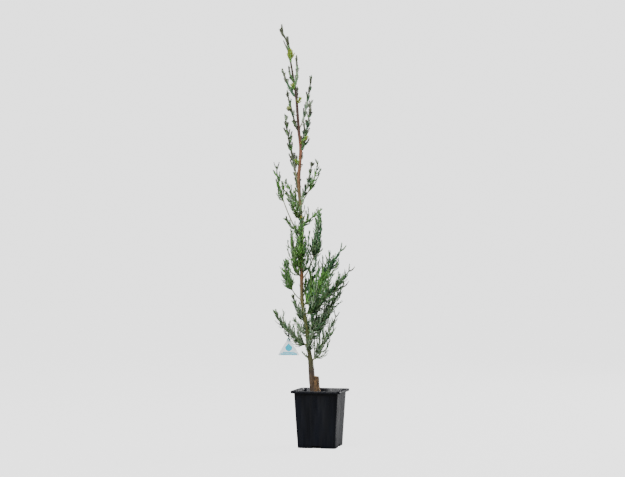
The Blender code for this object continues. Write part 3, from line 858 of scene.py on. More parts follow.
LEADER = Limb("leader", TRUNK_TOP, 0, 0, 0, 1, 0, 0.030, 0.0140, CROWN)
LIMB_ROWS = (
    # the skirt of the plant, under 0.30 m
    ("low_right", 0.166, 348, 0.051, 0.091, 1.1, 0.38, 0.031, 0.0101, SKIRT),
    ("low_left", 0.171, 182, 0.017, 0.016, 1.3, 0.00, 0.008, 0.0101, PLUME),
    ("low_front", 0.188, 285, 0.016, 0.050, 1.8, 0.00, 0.018, 0.0119, PLUME),
    ("left_low", 0.197, 186, 0.065, 0.067, 1.35, 0.27, 0.026, 0.0095, PLUME),
    ("right_low", 0.209, 28, 0.056, 0.066, 1.2, 0.25, 0.030, 0.0113, SKIRT),
    ("back_low", 0.214, 72, 0.052, 0.078, 1.4, 0.28, 0.030, 0.0143, LOOSE),
    ("left_inner", 0.219, 150, 0.028, 0.030, 1.2, 0.00, 0.021, 0.0107, PLUME),
    ("right_main", 0.223, 352, 0.072, 0.092, 1.1, 0.42, 0.034, 0.0095, SKIRT),
    ("left_mid", 0.249, 195, 0.024, 0.045, 1.2, 0.00, 0.022, 0.0113, PLUME),
    ("right_front", 0.258, 334, 0.099, 0.088, 1.1, 0.22, 0.038, 0.0101, SHADED),
    ("right_back", 0.276, 30, 0.087, 0.113, 1.1, 0.20, 0.037, 0.0113, LOBED),
    ("left_tuft", 0.287, 190, 0.033, 0.075, 2.4, 0.34, 0.025, 0.0089, CLUMP),
    ("back_mid", 0.292, 66, 0.075, 0.100, 1.5, 0.25, 0.036, 0.0154, LOOSE),
    # the middle, up to 0.50 m
    ("fork_right", 0.330, 354, 0.034, 0.136, 2.8, 0.22, 0.027, 0.0119, COLUMN),
    ("fork_left", 0.332, 208, 0.021, 0.090, 2.4, 0.00, 0.024, 0.0119, MIXED),
    ("fork_inner", 0.338, 310, 0.023, 0.086, 2.8, 0.00, 0.021, 0.0131, LOOSE),
    ("left_back", 0.345, 138, 0.030, 0.084, 2.0, 0.00, 0.023, 0.0154, DENSE),
    ("centre_back", 0.358, 95, 0.030, 0.088, 2.2, 0.00, 0.024, 0.0154, DENSE),
    ("centre_front", 0.364, 262, 0.017, 0.082, 2.2, 0.00, 0.022, 0.0089, BRIGHT),
    ("left_long", 0.414, 178, 0.050, 0.140, 1.7, 0.55, 0.026, 0.0124, SLIGHT),
    ("left_short", 0.420, 200, 0.034, 0.029, 1.2, 0.00, 0.018, 0.0119, BUSHY),
    ("right_short", 0.431, 318, 0.018, 0.041, 2.2, 0.00, 0.010, 0.0136, MIXED),
    ("right_twig", 0.437, 20, 0.042, 0.033, 1.1, 0.00, 0.017, 0.0154, SLIGHT),
    ("front_high", 0.443, 275, 0.009, 0.056, 1.8, 0.00, 0.009, 0.0124, MIXED),
    ("left_lower", 0.452, 222, 0.032, 0.034, 1.2, 0.00, 0.019, 0.0113, BUSHY),
    ("left_middle", 0.469, 192, 0.030, 0.031, 1.2, 0.00, 0.015, 0.0124, BUSHY),
    ("left_upper", 0.480, 160, 0.031, 0.048, 1.2, 0.00, 0.016, 0.0131, BUSHY),
    ("right_high", 0.481, 24, 0.040, 0.084, 1.5, 0.30, 0.022, 0.0143, SLIGHT),
    ("front_right", 0.487, 318, 0.033, 0.072, 1.6, 0.00, 0.014, 0.0166, THIN),
    ("back_high", 0.497, 104, 0.036, 0.082, 1.6, 0.00, 0.015, 0.0178, THIN),
    # the thin top
    ("left_top", 0.524, 162, 0.029, 0.133, 1.05, 0.34, 0.020, 0.0154, THIN),
    ("back_top", 0.562, 74, 0.026, 0.086, 1.6, 0.00, 0.012, 0.0190, THIN),
    ("right_top", 0.585, 330, 0.021, 0.097, 1.8, 0.00, 0.018, 0.0202, THIN),
    ("left_thin", 0.625, 205, 0.025, 0.079, 1.1, 0.00, 0.013, 0.0202, THIN),
    ("right_thin", 0.630, 26, 0.029, 0.108, 1.3, 0.30, 0.015, 0.0190, THIN),
    ("back_thin", 0.689, 82, 0.010, 0.026, 1.3, 0.00, 0.007, 0.0143, CREST),
    ("left_crown", 0.693, 170, 0.029, 0.058, 1.2, 0.00, 0.011, 0.0190, CREST),
    ("right_crown", 0.715, 300, 0.010, 0.060, 2.2, 0.00, 0.008, 0.0213, CREST),
    ("left_tip", 0.723, 208, 0.012, 0.031, 1.3, 0.00, 0.007, 0.0178, CREST),
)
LIMBS = tuple(Limb(*row) for row in LIMB_ROWS)


@dataclass(frozen=True)
class Spur:
    """A short twig from the trunk or the leader that carries something of its own."""

    limb: str  # the mass that it belongs to
    height: float
    turn: float  # which way it grows, in degrees round the trunk
    out: float
    rise: float
    size: float  # of what it carries
    bow: float = 0.35
    points: int = 7
    radii: Pair = (0.0009, 0.0007)

    @property
    def line(self) -> Line:
        """Draws its line.

        Returns:
            The line, from the trunk's middle to what it carries.
        """
        host = LEADER_STEM if self.height > TRUNK_TOP else TRUNK
        foot, turn = host.at(host.up_to(self.height)), math.radians(self.turn)
        away = np.array((self.out * math.cos(turn), self.out * math.sin(turn), self.rise))
        shares = np.linspace(0, 1, self.points)[:, None]
        sag = UP * self.out * self.bow * (shares - shares**2)
        return Line(foot + away * shares - sag, np.linspace(*self.radii, self.points))


@dataclass(frozen=True)
class Tuft(Spur):
    """A knot of fresh shoots on its twig."""

    count: int = 10
    habit: Habit = LIME


TUFTS = (
    Tuft("leader", 0.765, 250, 0.0015, 0.020, 0.0150, count=40),
    Tuft("leader", 0.7800, 180, 0.0035, 0.035, 0.0035, count=2, habit=SPIKE),
    Tuft("leader", 0.7790, 186, 0.0130, 0.027, 0.0035, count=2, habit=SPIKE),
    Tuft("left_crown", 0.706, 200, 0.0060, 0.010, 0.0150, count=14),
    Tuft("right_thin", 0.681, 330, 0.0090, 0.009, 0.0110),
    Tuft("right_top", 0.598, 320, 0.0180, 0.014, 0.0130),
    Tuft("left_top", 0.556, 215, 0.0070, 0.009, 0.0120),
    Tuft("left_long", 0.480, 182, 0.0380, 0.034, 0.0150, count=12, habit=MIXED),
    Tuft("left_lower", 0.451, 205, 0.0130, 0.008, 0.0120),
    Tuft("front_high", 0.446, 275, 0.0050, 0.006, 0.0090, habit=GOLD),
)
SPRIGS = (  # of each limb: from and up to which height, the longest, the pitch and the habit
    ("low_front", 0.182, 0.262, 0.017, 0.0024, SKIRT),
    ("right_main", 0.222, 0.300, 0.024, 0.0034, SKIRT),
    ("left_mid", 0.262, 0.300, 0.013, 0.0040, SKIRT),
    ("centre_front", 0.345, 0.430, 0.024, 0.0022, BRIGHT),
    ("front_high", 0.430, 0.500, 0.013, 0.0036, MIXED),
)
YOUNG_CONES = (
    Spur("left_thin", 0.655, 195, 0.0180, 0.0110, 0.0052),
    Spur("left_top", 0.630, 190, 0.0080, 0.0040, 0.0022),
    Spur("right_high", 0.522, 300, 0.0060, 0.0030, 0.0022),
    Spur("back_high", 0.566, 340, 0.0050, 0.0080, 0.0017),
    Spur("right_high", 0.545, 345, 0.0060, 0.0110, 0.0017),
)


def across(direction: Array, roll: float) -> Array:
    """A unit vector square to a direction, at an angle round it."""
    return swung(unit(np.cross(direction, (0.31, 0.22, 0.92))), direction, roll)


@dataclass
class Shoot:
    """A side shoot: its bent line, the way that its flat side spreads, and its sprays."""

    root: Array
    bend: Array
    tip: Array
    broad: Array
    size: float
    share: float  # where on its stem it grows
    sprays: list[tuple[float, int, float, float]]  # place along it, side, length and lean of each
    stout: float = 1  # how thick it is, as a share of its habit's thickness

    def at(self, place: float | Array) -> Array:
        """The point at a share of its length, on a curve that its bend draws."""
        t, pull = np.asarray(place, float)[..., None], 2 * self.bend - (self.root + self.tip) / 2
        return (1 - t) ** 2 * self.root + 2 * t * (1 - t) * pull + t**2 * self.tip

    def heading(self, place: float) -> Array:
        """Its direction at a share of its length."""
        return unit(self.at(min(1, place + 0.02)) - self.at(max(0, place - 0.02)))


@dataclass(frozen=True)
class Growth:
    """The rule that the solids grow by: stems from the trunk, shoots round each, and sprays on each shoot."""

    crotch: float = 0.0045
    crotch_points: int = 60  # that may still lie in the trunk
    sway: float = 0.035
    swing: Pair = (0.6, 1.0)
    steps: int = 60
    fine_steps: int = 1200
    root_radius: float = 0.0015
    tip_radius: float = 0.0006
    least_root_radius: float = 0.0009
    thick_length: float = 0.150
    taper: float = 0.8  # under 1, a stem is thin sooner
    places: Pair = (0.25, 0.75)
    spread: Pair = (0.8, 1.2)
    turn_spread: float = 0.4
    shoot_lean: float = math.radians(38)
    shoot_bend: float = 0.45
    shoot_taper: float = 0.55
    shoot_twist: float = math.radians(35)
    spray_pitch: float = 0.0074
    spray_from: float = 0.0150
    spray_first: float = 0.15
    spray_last: float = 0.74
    spray_share: float = 0.54
    spray_taper: float = 0.65
    spray_lean: float = math.radians(27)
    end_share: float = 0.35  # how much of a stem its last shoot takes at most
    side_pitch: float = 0.0125  # from one finer bough of a stem to the next
    side_inward: float = 2.1  # over 1, they stand closer near the stem's foot
    side_first: float = 0.03  # where on a stem its finer boughs start, and over how much of it they stand
    side_span: float = 0.70
    side_radii: Pair = (0.0009, 0.0005)
    side_steps: int = 24

    def stem(self, limb: Limb) -> Line:
        """A limb's stem.

        Args:
            limb: The limb's row.

        Returns:
            Its line, from the trunk's surface to its tip.
        """
        chance = Chance(limb.name)
        phase, swing = chance.uniform(0, math.tau), chance.uniform(*self.swing)
        turn = math.radians(limb.turn)
        out = np.array((math.cos(turn), math.sin(turn), 0))
        length = math.hypot(limb.reach, limb.rise)
        t = np.linspace(0, 1, self.fine_steps)[:, None]
        rise = limb.rise * t
        crotch = self.crotch * (1 - np.exp(-rise / self.crotch))
        away = crotch + (limb.reach - self.crotch) * (1 - (1 - t) ** limb.bow)
        sway = self.sway * length * swing * t * np.sin(phase + math.tau * t)
        points = TRUNK.at(TRUNK.up_to(limb.foot)) + out * away + np.cross(UP, out) * sway + UP * rise
        low = points[: self.crotch_points]
        beside = TRUNK.up_to(low[:, 2])
        headings = np.array([TRUNK.heading(place) for place in beside])
        apart = np.linalg.norm(np.cross(headings, low - TRUNK.at(beside)), axis=1)
        points = points[int(np.argmax(apart >= TRUNK.radius(beside) + GAP)) :]
        root = max(self.least_root_radius, self.root_radius * min(1, length / self.thick_length) ** 0.5)
        line = Line(points, root + (self.tip_radius - root) * np.linspace(0, 1, len(points)) ** self.taper)
        return line.part(0, line.length, self.steps)

    def shoots(
        self, seed: str, stem: Line, longest: float, pitch: float, start: float = 0, lean: float = 1
    ) -> list[Shoot]:
        """The shoots round a stem.

        Args:
            seed: What the draws start from. The solid's name gives the solid's own shoots.
            stem: The stem's line.
            longest: The length of its longest shoots.
            pitch: The distance from shoot to shoot.
            start: Which way round the stem the first one grows.
            lean: How far they lean, as a share of the rule's.

        Returns:
            The shoots, with the source's sprays on each.
        """
        chance = Chance(seed)
        count = max(2, round(stem.length / pitch))
        grown = []
        for i in range(count):
            share = (i + chance.uniform(*self.places)) / count
            roll = start + i * GOLDEN_TURN + chance.uniform(-self.turn_spread, self.turn_spread)
            size = longest * (1 - self.shoot_taper * share) * chance.uniform(*self.spread)
            grown.append(self.shoot(stem, share, roll, size, chance, lean=lean))
        return grown

    def last_shoot(self, stem: Line, longest: float) -> Shoot:
        """A stem's own end as a shoot, which takes sprays as the others do.

        Args:
            stem: The stem's line.
            longest: The most that it takes of the stem.

        Returns:
            The shoot.
        """
        size = min(longest, self.end_share * stem.length)
        start = stem.length - size
        broad = across(stem.heading(start), math.pi / 2)
        return Shoot(stem.at(start), stem.at(start + size / 2), stem.at(stem.length), broad, size, 1, [])

    def side_boughs(self, seed: str, stem: Line, habit: Habit) -> list[tuple[float, Line]]:
        """The finer boughs of a stem, which grow as its shoots do at a larger size.

        Args:
            seed: What the draws start from.
            stem: The stem's line.
            habit: How the limb's foliage grows.

        Returns:
            Where on the stem each grows, and its line.
        """
        chance = Chance(seed)
        count = round(stem.length / self.side_pitch * habit.full)
        places = np.linspace(0, 1, self.side_steps)
        grown = []
        for i in range(count):
            place = ((i + chance.uniform(*self.places)) / count) ** self.side_inward
            share = self.side_first + self.side_span * place
            size = stem.length * habit.side * (1 - self.shoot_taper * share) * chance.uniform(*self.spread)
            bough = self.shoot(stem, share, 1 + i * GOLDEN_TURN, size, chance, habit.upright)
            grown.append((share, Line(bough.at(places), np.interp(places, (0, 1), self.side_radii))))
        return grown

    def shoot(
        self,
        stem: Line,
        share: float,
        roll: float,
        size: float,
        chance: Chance,
        lift: float = 0.40,
        lean: float = 1,
    ) -> Shoot:
        """One shoot, which leaves its stem aslant and turns upward.

        Args:
            stem: The stem's line.
            share: Where on it the shoot starts.
            roll: Which way round the stem it grows.
            size: Its length.
            chance: The draws.
            lift: How far it turns upward.
            lean: How far it leans, as a share of the rule's.

        Returns:
            The shoot.
        """
        root, ahead = stem.at(share * stem.length), stem.heading(share * stem.length)
        out = across(ahead, roll)
        lean *= self.shoot_lean * chance.uniform(*self.spread)
        low = ahead * math.cos(lean) + out * math.sin(lean)
        high = unit(low + (UP - low) * lift)
        bend = root + low * size * self.shoot_bend
        tip = bend + high * size * (1 - self.shoot_bend)
        broad = swung(unit(np.cross(low, out)), low, chance.uniform(-self.shoot_twist, self.shoot_twist))
        pairs = int(size / self.spray_pitch) if size > self.spray_from else 0
        stations = np.linspace(self.spray_first, self.spray_last, pairs + 1)[:pairs]
        sprays = []
        for place, side in product(stations, (1, -1)):
            length = size * self.spray_share * (1 - self.spray_taper * place) * chance.uniform(*self.spread)
            sprays.append((float(place), side, length, self.spray_lean * chance.uniform(*self.spread)))
        return Shoot(root, bend, tip, broad, size, share, sprays)


# Foliage


@dataclass(frozen=True)
class Foliage:
    """The shoots' finer twigs, each a cord of small scale leaves in crossed pairs."""

    growth: Growth
    fine_pitch: float = 0.0038  # from one finer spray to the next
    fine_first: float = 0.06  # where on a shoot they start, and over how much of it they stand
    fine_span: float = 0.88
    fine_places: Pair = (0.2, 0.8)  # where in its own stretch of the shoot one may stand
    fine_share: Pair = (0.35, 0.65)  # their lengths, as shares of the source's sprays there
    fine_lean: Pair = (0.7, 1.1)  # and their leans
    own_share: float = 0.62  # the length of the source's sprays here, where finer ones stand between them
    twig_pitch: float = 0.0030  # from one twig of a spray to the next
    twig_places: Pair = (-0.3, 0.3)
    twig_share: float = 0.42
    twig_taper: float = 0.7
    twig_spread: Pair = (0.7, 1.3)
    least_twig: float = 0.0018
    twig_lean: float = math.radians(27)
    roll: float = 0.55  # how far sprays and twigs stand out of their shoot's plane
    follow: float = 0.5  # how far they turn the way that their parent grows
    scale_length: float = 0.00150  # from one pair of leaves to the next on a cord
    flare: float = 0.28  # how far each pair stands out of the cord, as a share of its radius
    tapers: Triple = (0.6, 0.8, 0.7)  # what is left of a whole cord's radius, a lower part's and a dull tip's
    axis_radius: float = 0.00072
    spray_radius: float = 0.00060
    twig_radius: float = 0.00046
    stray: float = 0.40  # how many sprays are dealt a shade of their own
    leaf_length: float = 0.0030  # of the longer leaves on stems and on the axes of shoots
    leaf_spread: Pair = (0.75, 1.25)
    leaf_turn: float = 0.3  # how far a leaf may stand out of its pair's plane, in radians
    leaf_seat: float = 0.7  # how far from the stem's middle it starts, as a share of the stem's radius
    leaf_lift: float = 0.0008  # how far its tip stands off the stem, and its ridge
    leaf_ridge: float = 0.0003
    ridge_at: float = 0.35  # where along it the ridge is, and the keel under it
    keel_at: float = 0.4
    leaf_width: float = 0.0014
    leaf_pitch: float = 0.0015
    leaf_faces: tuple[tuple[int, int, int], ...] = (
        (0, 1, 2), (0, 2, 3), (2, 1, 3), (1, 0, 4), (0, 3, 4), (3, 1, 4)
    )

    def cord(self, skins: Skins, points: Array, radius: float, broad: Array, thin: float = 0.75) -> None:
        """Adds one cord of scale leaves.

        Args:
            skins: Where it goes.
            points: The points along it, one for each pair of leaves.
            radius: Its radius at its foot.
            broad: The way that its first pair faces.
            thin: What is left of the radius at its tip.
        """
        ahead = unit(np.gradient(points, axis=0))
        side = unit(broad - (ahead @ broad)[:, None] * ahead)
        width = radius * np.linspace(1, thin, len(points))
        odd = np.where(np.arange(len(points)) % 2, 1 + self.flare, 1 - self.flare)
        a, b = side * (width * odd)[:, None], np.cross(ahead, side) * (width * (2 - odd))[:, None]
        rings = points[:, None] + np.stack([a, b, -a, -b], axis=1)
        skins.add_rings(rings[:-1], points[-1])

    def dull_tipped(
        self, piles: Piles, shade: Shade, points: Array, radius: float, broad: Array, dull_from: float
    ) -> None:
        """Adds one cord whose tip is duller than the rest.

        Args:
            piles: The joined cords.
            shade: The shade of the rest.
            points: The points along it.
            radius: Its radius at its foot.
            broad: The way that its first pair faces.
            dull_from: Where along it the dull tip starts.
        """
        split, (whole, lower, tip) = round(len(points) * dull_from), self.tapers
        if split > len(points) - 4:
            self.cord(piles.into(shade), points, radius, broad, whole)
        else:
            self.cord(piles.into(shade), points[: split + 2], radius, broad, lower)
            self.cord(piles.into(Shade.DUSK), points[split:], radius * lower, broad, tip)

    def branch(self, root: Array, ahead: Array, spread: Array, lean: float, length: float) -> Array:
        """Points along a spray or a twig, which turns a little the way that its parent grows.

        Args:
            root: Where it starts.
            ahead: Its parent's direction.
            spread: The way that it leans out.
            lean: How far it leans.
            length: Its length.

        Returns:
            The points.
        """
        way = ahead * math.cos(lean) + spread * math.sin(lean)
        t = np.linspace(0, 1, max(3, round(length / self.scale_length) + 1))[:, None]
        end = unit(way + self.follow * (ahead - way))
        return root + length * (way * t + 0.5 * (end - way) * t**2)

    def spread(self, ahead: Array, broad: Array, side: int, chance: Chance) -> Array:
        """The way that a spray or a twig leans out.

        Args:
            ahead: Its parent's direction.
            broad: The way that its parent spreads.
            side: To which side of its parent it grows, 1 or -1.
            chance: The draws.

        Returns:
            The way, square to its parent's direction.
        """
        out = swung(broad, ahead, chance.uniform(-self.roll, self.roll)) * side
        return unit(out - ahead * (out @ ahead))

    def twigs_on(
        self, skins: Skins, points: Array, length: float, broad: Array, chance: Chance, thick: float
    ) -> None:
        """Adds the twigs along one spray, which grow alternately to its two sides.

        Args:
            skins: Where they go.
            points: The spray's points.
            length: Its length.
            broad: The way that it spreads.
            chance: The draws.
            thick: How much stouter its cords are.
        """
        count = int(length / self.twig_pitch)
        line = Line(points, np.zeros(len(points)))
        for j in range(1, count):
            place = (j + chance.uniform(*self.twig_places)) / count
            longest = length * self.twig_share * (1 - self.twig_taper * place)
            size = longest * chance.uniform(*self.twig_spread)
            if size > self.least_twig:
                ahead = line.heading(place * line.length)
                spread = self.spread(ahead, broad, 1 if j % 2 else -1, chance)
                lean = self.twig_lean * chance.uniform(*self.twig_spread)
                twig = self.branch(line.at(place * line.length), ahead, spread, lean, size)
                self.cord(skins, twig, self.twig_radius * thick, broad)

    def plume(self, piles: Piles, shoot: Shoot, habit: Habit, chance: Chance) -> None:
        """Adds one shoot with its sprays and their twigs.

        Args:
            piles: The joined sprays.
            shoot: The shoot.
            habit: How its limb's foliage grows.
            chance: The draws.
        """
        # A shoot that faces backward is dealt darker greens, as painted shade.
        shaded_behind, thick = bool(shoot.tip[1] > shoot.root[1]), habit.thick * shoot.stout
        shade = habit.deal(chance, shaded_behind, shoot.share)
        steps = max(3, round(shoot.size / self.scale_length))
        axis, radius = shoot.at(np.linspace(0, 1, steps + 1)), self.axis_radius * thick
        self.dull_tipped(piles, shade, axis, radius, shoot.broad, habit.dull_from)
        split = round(steps * habit.dull_from)
        for tint, part in ((shade, axis[: split + 1]), (Shade.DUSK, axis[split:])):
            if habit.awl and len(part) > 2:
                core = Line(part, np.full(len(part), radius * 0.8))
                self.leaves_on(piles.into(tint), core, habit.awl, chance)
        for place, side, length, lean in self.sprays(shoot, self.fine_pitch / habit.fine, chance):
            spread = self.spread(shoot.heading(place), shoot.broad, side, chance)
            points = self.branch(shoot.at(place), shoot.heading(place), spread, lean, length)
            tint = habit.deal(chance, shaded_behind, shoot.share) if chance.random() < self.stray else shade
            into = piles.into(tint if place < habit.dull_from else Shade.DUSK)
            self.cord(into, points, self.spray_radius * thick, spread)
            self.twigs_on(into, points, length, spread, chance, thick)

    def sprays(self, shoot: Shoot, pitch: float, chance: Chance) -> list[tuple[float, int, float, float]]:
        """A shoot's sprays, the source's with finer ones between them.

        Args:
            shoot: The shoot.
            pitch: The distance from one finer spray to the next.
            chance: The draws.

        Returns:
            The place along the shoot, the side, the length and the lean of each.
        """
        rule = self.growth
        sprays = [(place, side, length * self.own_share, lean) for place, side, length, lean in shoot.sprays]
        for j in range(int(shoot.size * self.fine_span / pitch)):
            place = self.fine_first + (j + chance.uniform(*self.fine_places)) * pitch / shoot.size
            longest = shoot.size * rule.spray_share * (1 - rule.spray_taper * place)
            length = longest * chance.uniform(*self.fine_share)
            lean = rule.spray_lean * chance.uniform(*self.fine_lean)
            sprays.append((place, 1 if j % 2 else -1, length, lean))
        return sprays

    def leaves_on(self, skins: Skins, line: Line, scale: float, chance: Chance) -> None:
        """Adds the longer pointed leaves along a stem, in crossed pairs that hug it, their tips free.

        Args:
            skins: Where they go.
            line: The stem's line.
            scale: How large they are.
            chance: The draws.
        """
        solids = []
        for j, turn in product(range(int(line.length / self.leaf_pitch)), (0, math.pi)):
            distance = (j + 0.5) * self.leaf_pitch
            radius, point, ahead = line.radius(distance), line.at(distance), line.heading(distance)
            out = across(ahead, turn + j * math.pi / 2 + chance.uniform(-self.leaf_turn, self.leaf_turn))
            along = ahead * self.leaf_length * scale * chance.uniform(*self.leaf_spread)
            half = np.cross(ahead, out) * self.leaf_width * scale / 2
            seat = point + out * radius * self.leaf_seat
            ridge = point + out * (radius + self.leaf_ridge) + along * self.ridge_at
            tip = point + out * (radius + self.leaf_lift * scale) + along
            solids.append((seat - half, seat + half, ridge, tip, point + along * self.keel_at))
        if solids:
            skins.add_solids(np.array(solids), np.array(self.leaf_faces))


# The trunk and the limbs


@dataclass(frozen=True)
class Stems:
    """The skins of the trunk and the boughs, with the bark's relief."""

    sides: int = 28
    rod_sides: int = 10
    step: float = 0.0012
    ridge: float = 0.0013  # width of the bark's ridges
    ridge_length: float = 7.0  # and how many times longer they are
    layers: tuple[Pair, ...] = ((0.55, 0.6), (1.7, 0.4))  # how fine each is, and its share
    collar: float = 0.0030  # how far a bough's swollen foot runs
    swelling: float = 0.0006
    rod_relief: float = 0.00035

    def rings(self, line: Line, sides: int) -> tuple[Array, Array, Array]:
        """The centres of a line's rings and the spokes of each.

        Args:
            line: The line.
            sides: How many spokes each ring has.

        Returns:
            The centres, the spokes as unit vectors, and the spokes' turns.
        """
        count = max(3, round(line.length / self.step))
        points = line.at(np.linspace(0, line.length, count + 1))
        ahead = unit(np.gradient(points, axis=0))
        first = unit(np.cross(np.array((0.0, 1.0, 0.0)), ahead))
        second = np.cross(ahead, first)
        turns = np.arange(sides) * math.tau / sides
        cosines, sines = np.cos(turns)[None, :, None], np.sin(turns)[None, :, None]
        spokes = first[:, None] * cosines + second[:, None] * sines
        return points, spokes, turns

    def relief(self, points: Array, spokes: Array, radii: Array, seed: float) -> Array:
        """The bark's ridges.

        Args:
            points: The rings' centres.
            spokes: Their spokes.
            radii: Their radii.
            seed: What tells one stem's relief from another's.

        Returns:
            How far each point stands out, as a share of the relief's depth.
        """
        place = spokes * (radii / self.ridge)[:, None, None]
        place[..., 2] += (points[:, 2] / self.ridge / self.ridge_length + seed)[:, None]
        spots = [Vector(spot) for spot in place.reshape(-1, 3)]
        made = [sum(share * noise.noise(spot * fine) for fine, share in self.layers) for spot in spots]
        return np.array(made).reshape(place.shape[:2])

    def add_rod(self, skins: Skins, line: Line, seed: float, sides: int = 0) -> None:
        """Adds a tapering stem with a swollen foot and a light relief.

        Args:
            skins: Where it goes.
            line: Its line.
            seed: What tells its relief from another's.
            sides: How many sides it has, where it has fewer than a bough.
        """
        points, spokes, _ = self.rings(line, sides or self.rod_sides)
        along = np.linspace(0, line.length, len(points))
        radius = line.radius(along) + self.swelling * np.exp(-((along / self.collar) ** 2))
        out = radius[:, None] + self.relief(points, spokes, radius, seed) * self.rod_relief
        skins.add_rings(points[:, None] + spokes * out[..., None])


@dataclass(frozen=True)
class Swelling:
    """A rounded swelling on the trunk."""

    height: float
    turn: float  # where round the trunk it is, in degrees
    size: float  # how far it stands out
    tall: float  # its half height in metres
    wide: float  # its half width in radians

    def on(self, points: Array, turns: Array) -> Array:
        """How far it moves each point of the trunk's rings.

        Args:
            points: The rings' centres.
            turns: The spokes' turns.

        Returns:
            The distances, one row for each ring.
        """
        up = np.exp(-(((points[:, 2] - self.height) / self.tall) ** 2))
        away = (turns - math.radians(self.turn) + math.pi) % math.tau - math.pi
        return self.size * up[:, None] * np.exp(-((away / self.wide) ** 2))[None]


@dataclass
class Trunk:
    """The trunk with its foot, the scars on it and the sawn-off rootstock beside it."""

    stems: Stems
    bough_collar: float = 0.0008  # how far the trunk swells where a bare bough leaves it
    leafy_collar: float = 0.0005  # and where a leafy stem does
    collar_shape: Pair = (0.0032, 0.9)  # its half height and half width
    scars: tuple[Pair, ...] = (  # height and turn of each
        (0.126, 250), (0.150, 330), (0.163, 200), (0.243, 20),
        (0.310, 300), (0.392, 240), (0.548, 350), (0.664, 200),
    )
    scar_rim: Triple = (0.0009, 0.0022, 0.55)  # its size, half height and half width
    scar_pit: Triple = (0.0011, 0.00099, 0.22)
    old_wood: float = 0.190  # under this height the bark is thick and rough
    old_fade: float = 0.09
    old_bark: float = 0.0009  # how far it stands out there
    bark: float = 0.0006  # and elsewhere
    relief: Pair = (0.00022, 0.00100)  # young wood's, and what old wood adds
    stub_foot: Triple = (-0.0068, -0.0020, TRUNK_FOOT)
    stub_top: Triple = (-0.0082, -0.0022, 0.1375)
    stub_radii: Pair = (0.0082, 0.0054)  # at its foot and its top
    stub_flare: float = 1.6
    stub_tilt: float = math.radians(9)  # of its sawn top
    stub_relief: float = 0.0017
    stub_steps: int = 34
    cut_rings: tuple[Pair, ...] = ((0.9, -0.002), (0.9, 0.0002), (0.5, 0.0004))

    def build(self, bark: Material, stub_bark: Material, wood: Material) -> None:
        """Makes the trunk, the rootstock's stub and its cut face.

        Args:
            bark: The trunk's finish.
            stub_bark: The rootstock's.
            wood: The cut's.
        """
        stub = self.stub_rings()
        middle = stub[-1].mean(axis=0)
        cut = np.stack([middle + (stub[-1] - middle) * share + UP * rise for share, rise in self.cut_rings])
        rows = (
            ("trunk_bark", self.trunk_rings(), bark),
            ("rootstock_stub", stub, stub_bark),
            ("rootstock_cut", cut, wood),
        )
        for name, rings, finish in rows:
            skins = Skins()
            skins.add_rings(rings)
            dress(skins.build(name), finish, ("trunk",))

    def trunk_rings(self) -> Array:
        """Draws the trunk's skin, swollen where each limb leaves it and where one was shed.

        Returns:
            Its rings.
        """
        points, spokes, turns = self.stems.rings(TRUNK, self.stems.sides)
        old = np.clip((self.old_wood - points[:, 2]) / self.old_fade, 0, 1)
        radii = np.interp(points[:, 2], TRUNK.points[:, 2], TRUNK.radii) + self.bark
        radii += (self.old_bark - self.bark) * np.minimum(1, 2 * old)
        depth = self.relief[0] + self.relief[1] * old
        out = radii[:, None] + self.stems.relief(points, spokes, radii, 3.7) * depth[:, None]
        for limb in LIMBS:
            size = self.bough_collar if limb.bare else self.leafy_collar
            out += Swelling(limb.foot, limb.turn, size, *self.collar_shape).on(points, turns)
        for scar in self.scars:
            out += Swelling(*scar, *self.scar_rim).on(points, turns)
            out -= Swelling(*scar, *self.scar_pit).on(points, turns)
        return points[:, None] + spokes * out[..., None]

    def stub_rings(self) -> Array:
        """Draws the rootstock's skin up to its sawn top.

        Returns:
            Its rings.
        """
        shares, sides = np.linspace(0, 1, self.stub_steps + 1), self.stems.sides
        foot, top = np.array(self.stub_foot), np.array(self.stub_top)
        centres = foot + (top - foot) * shares[:, None]
        low, high = self.stub_radii
        radii = high + (low - high) * (1 - shares) ** self.stub_flare
        turns = np.arange(sides) * math.tau / sides
        spokes = np.stack([np.cos(turns), np.sin(turns), np.zeros(sides)], axis=-1)
        spokes = np.repeat(spokes[None], len(shares), axis=0)
        out = radii[:, None] + self.stems.relief(centres, spokes, radii, 9.1) * self.stub_relief
        skin = centres[:, None] + spokes * out[..., None]
        skin[..., 2] -= shares[:, None] ** 3 * (skin[..., 0] - top[0]) * math.tan(self.stub_tilt)
        return skin


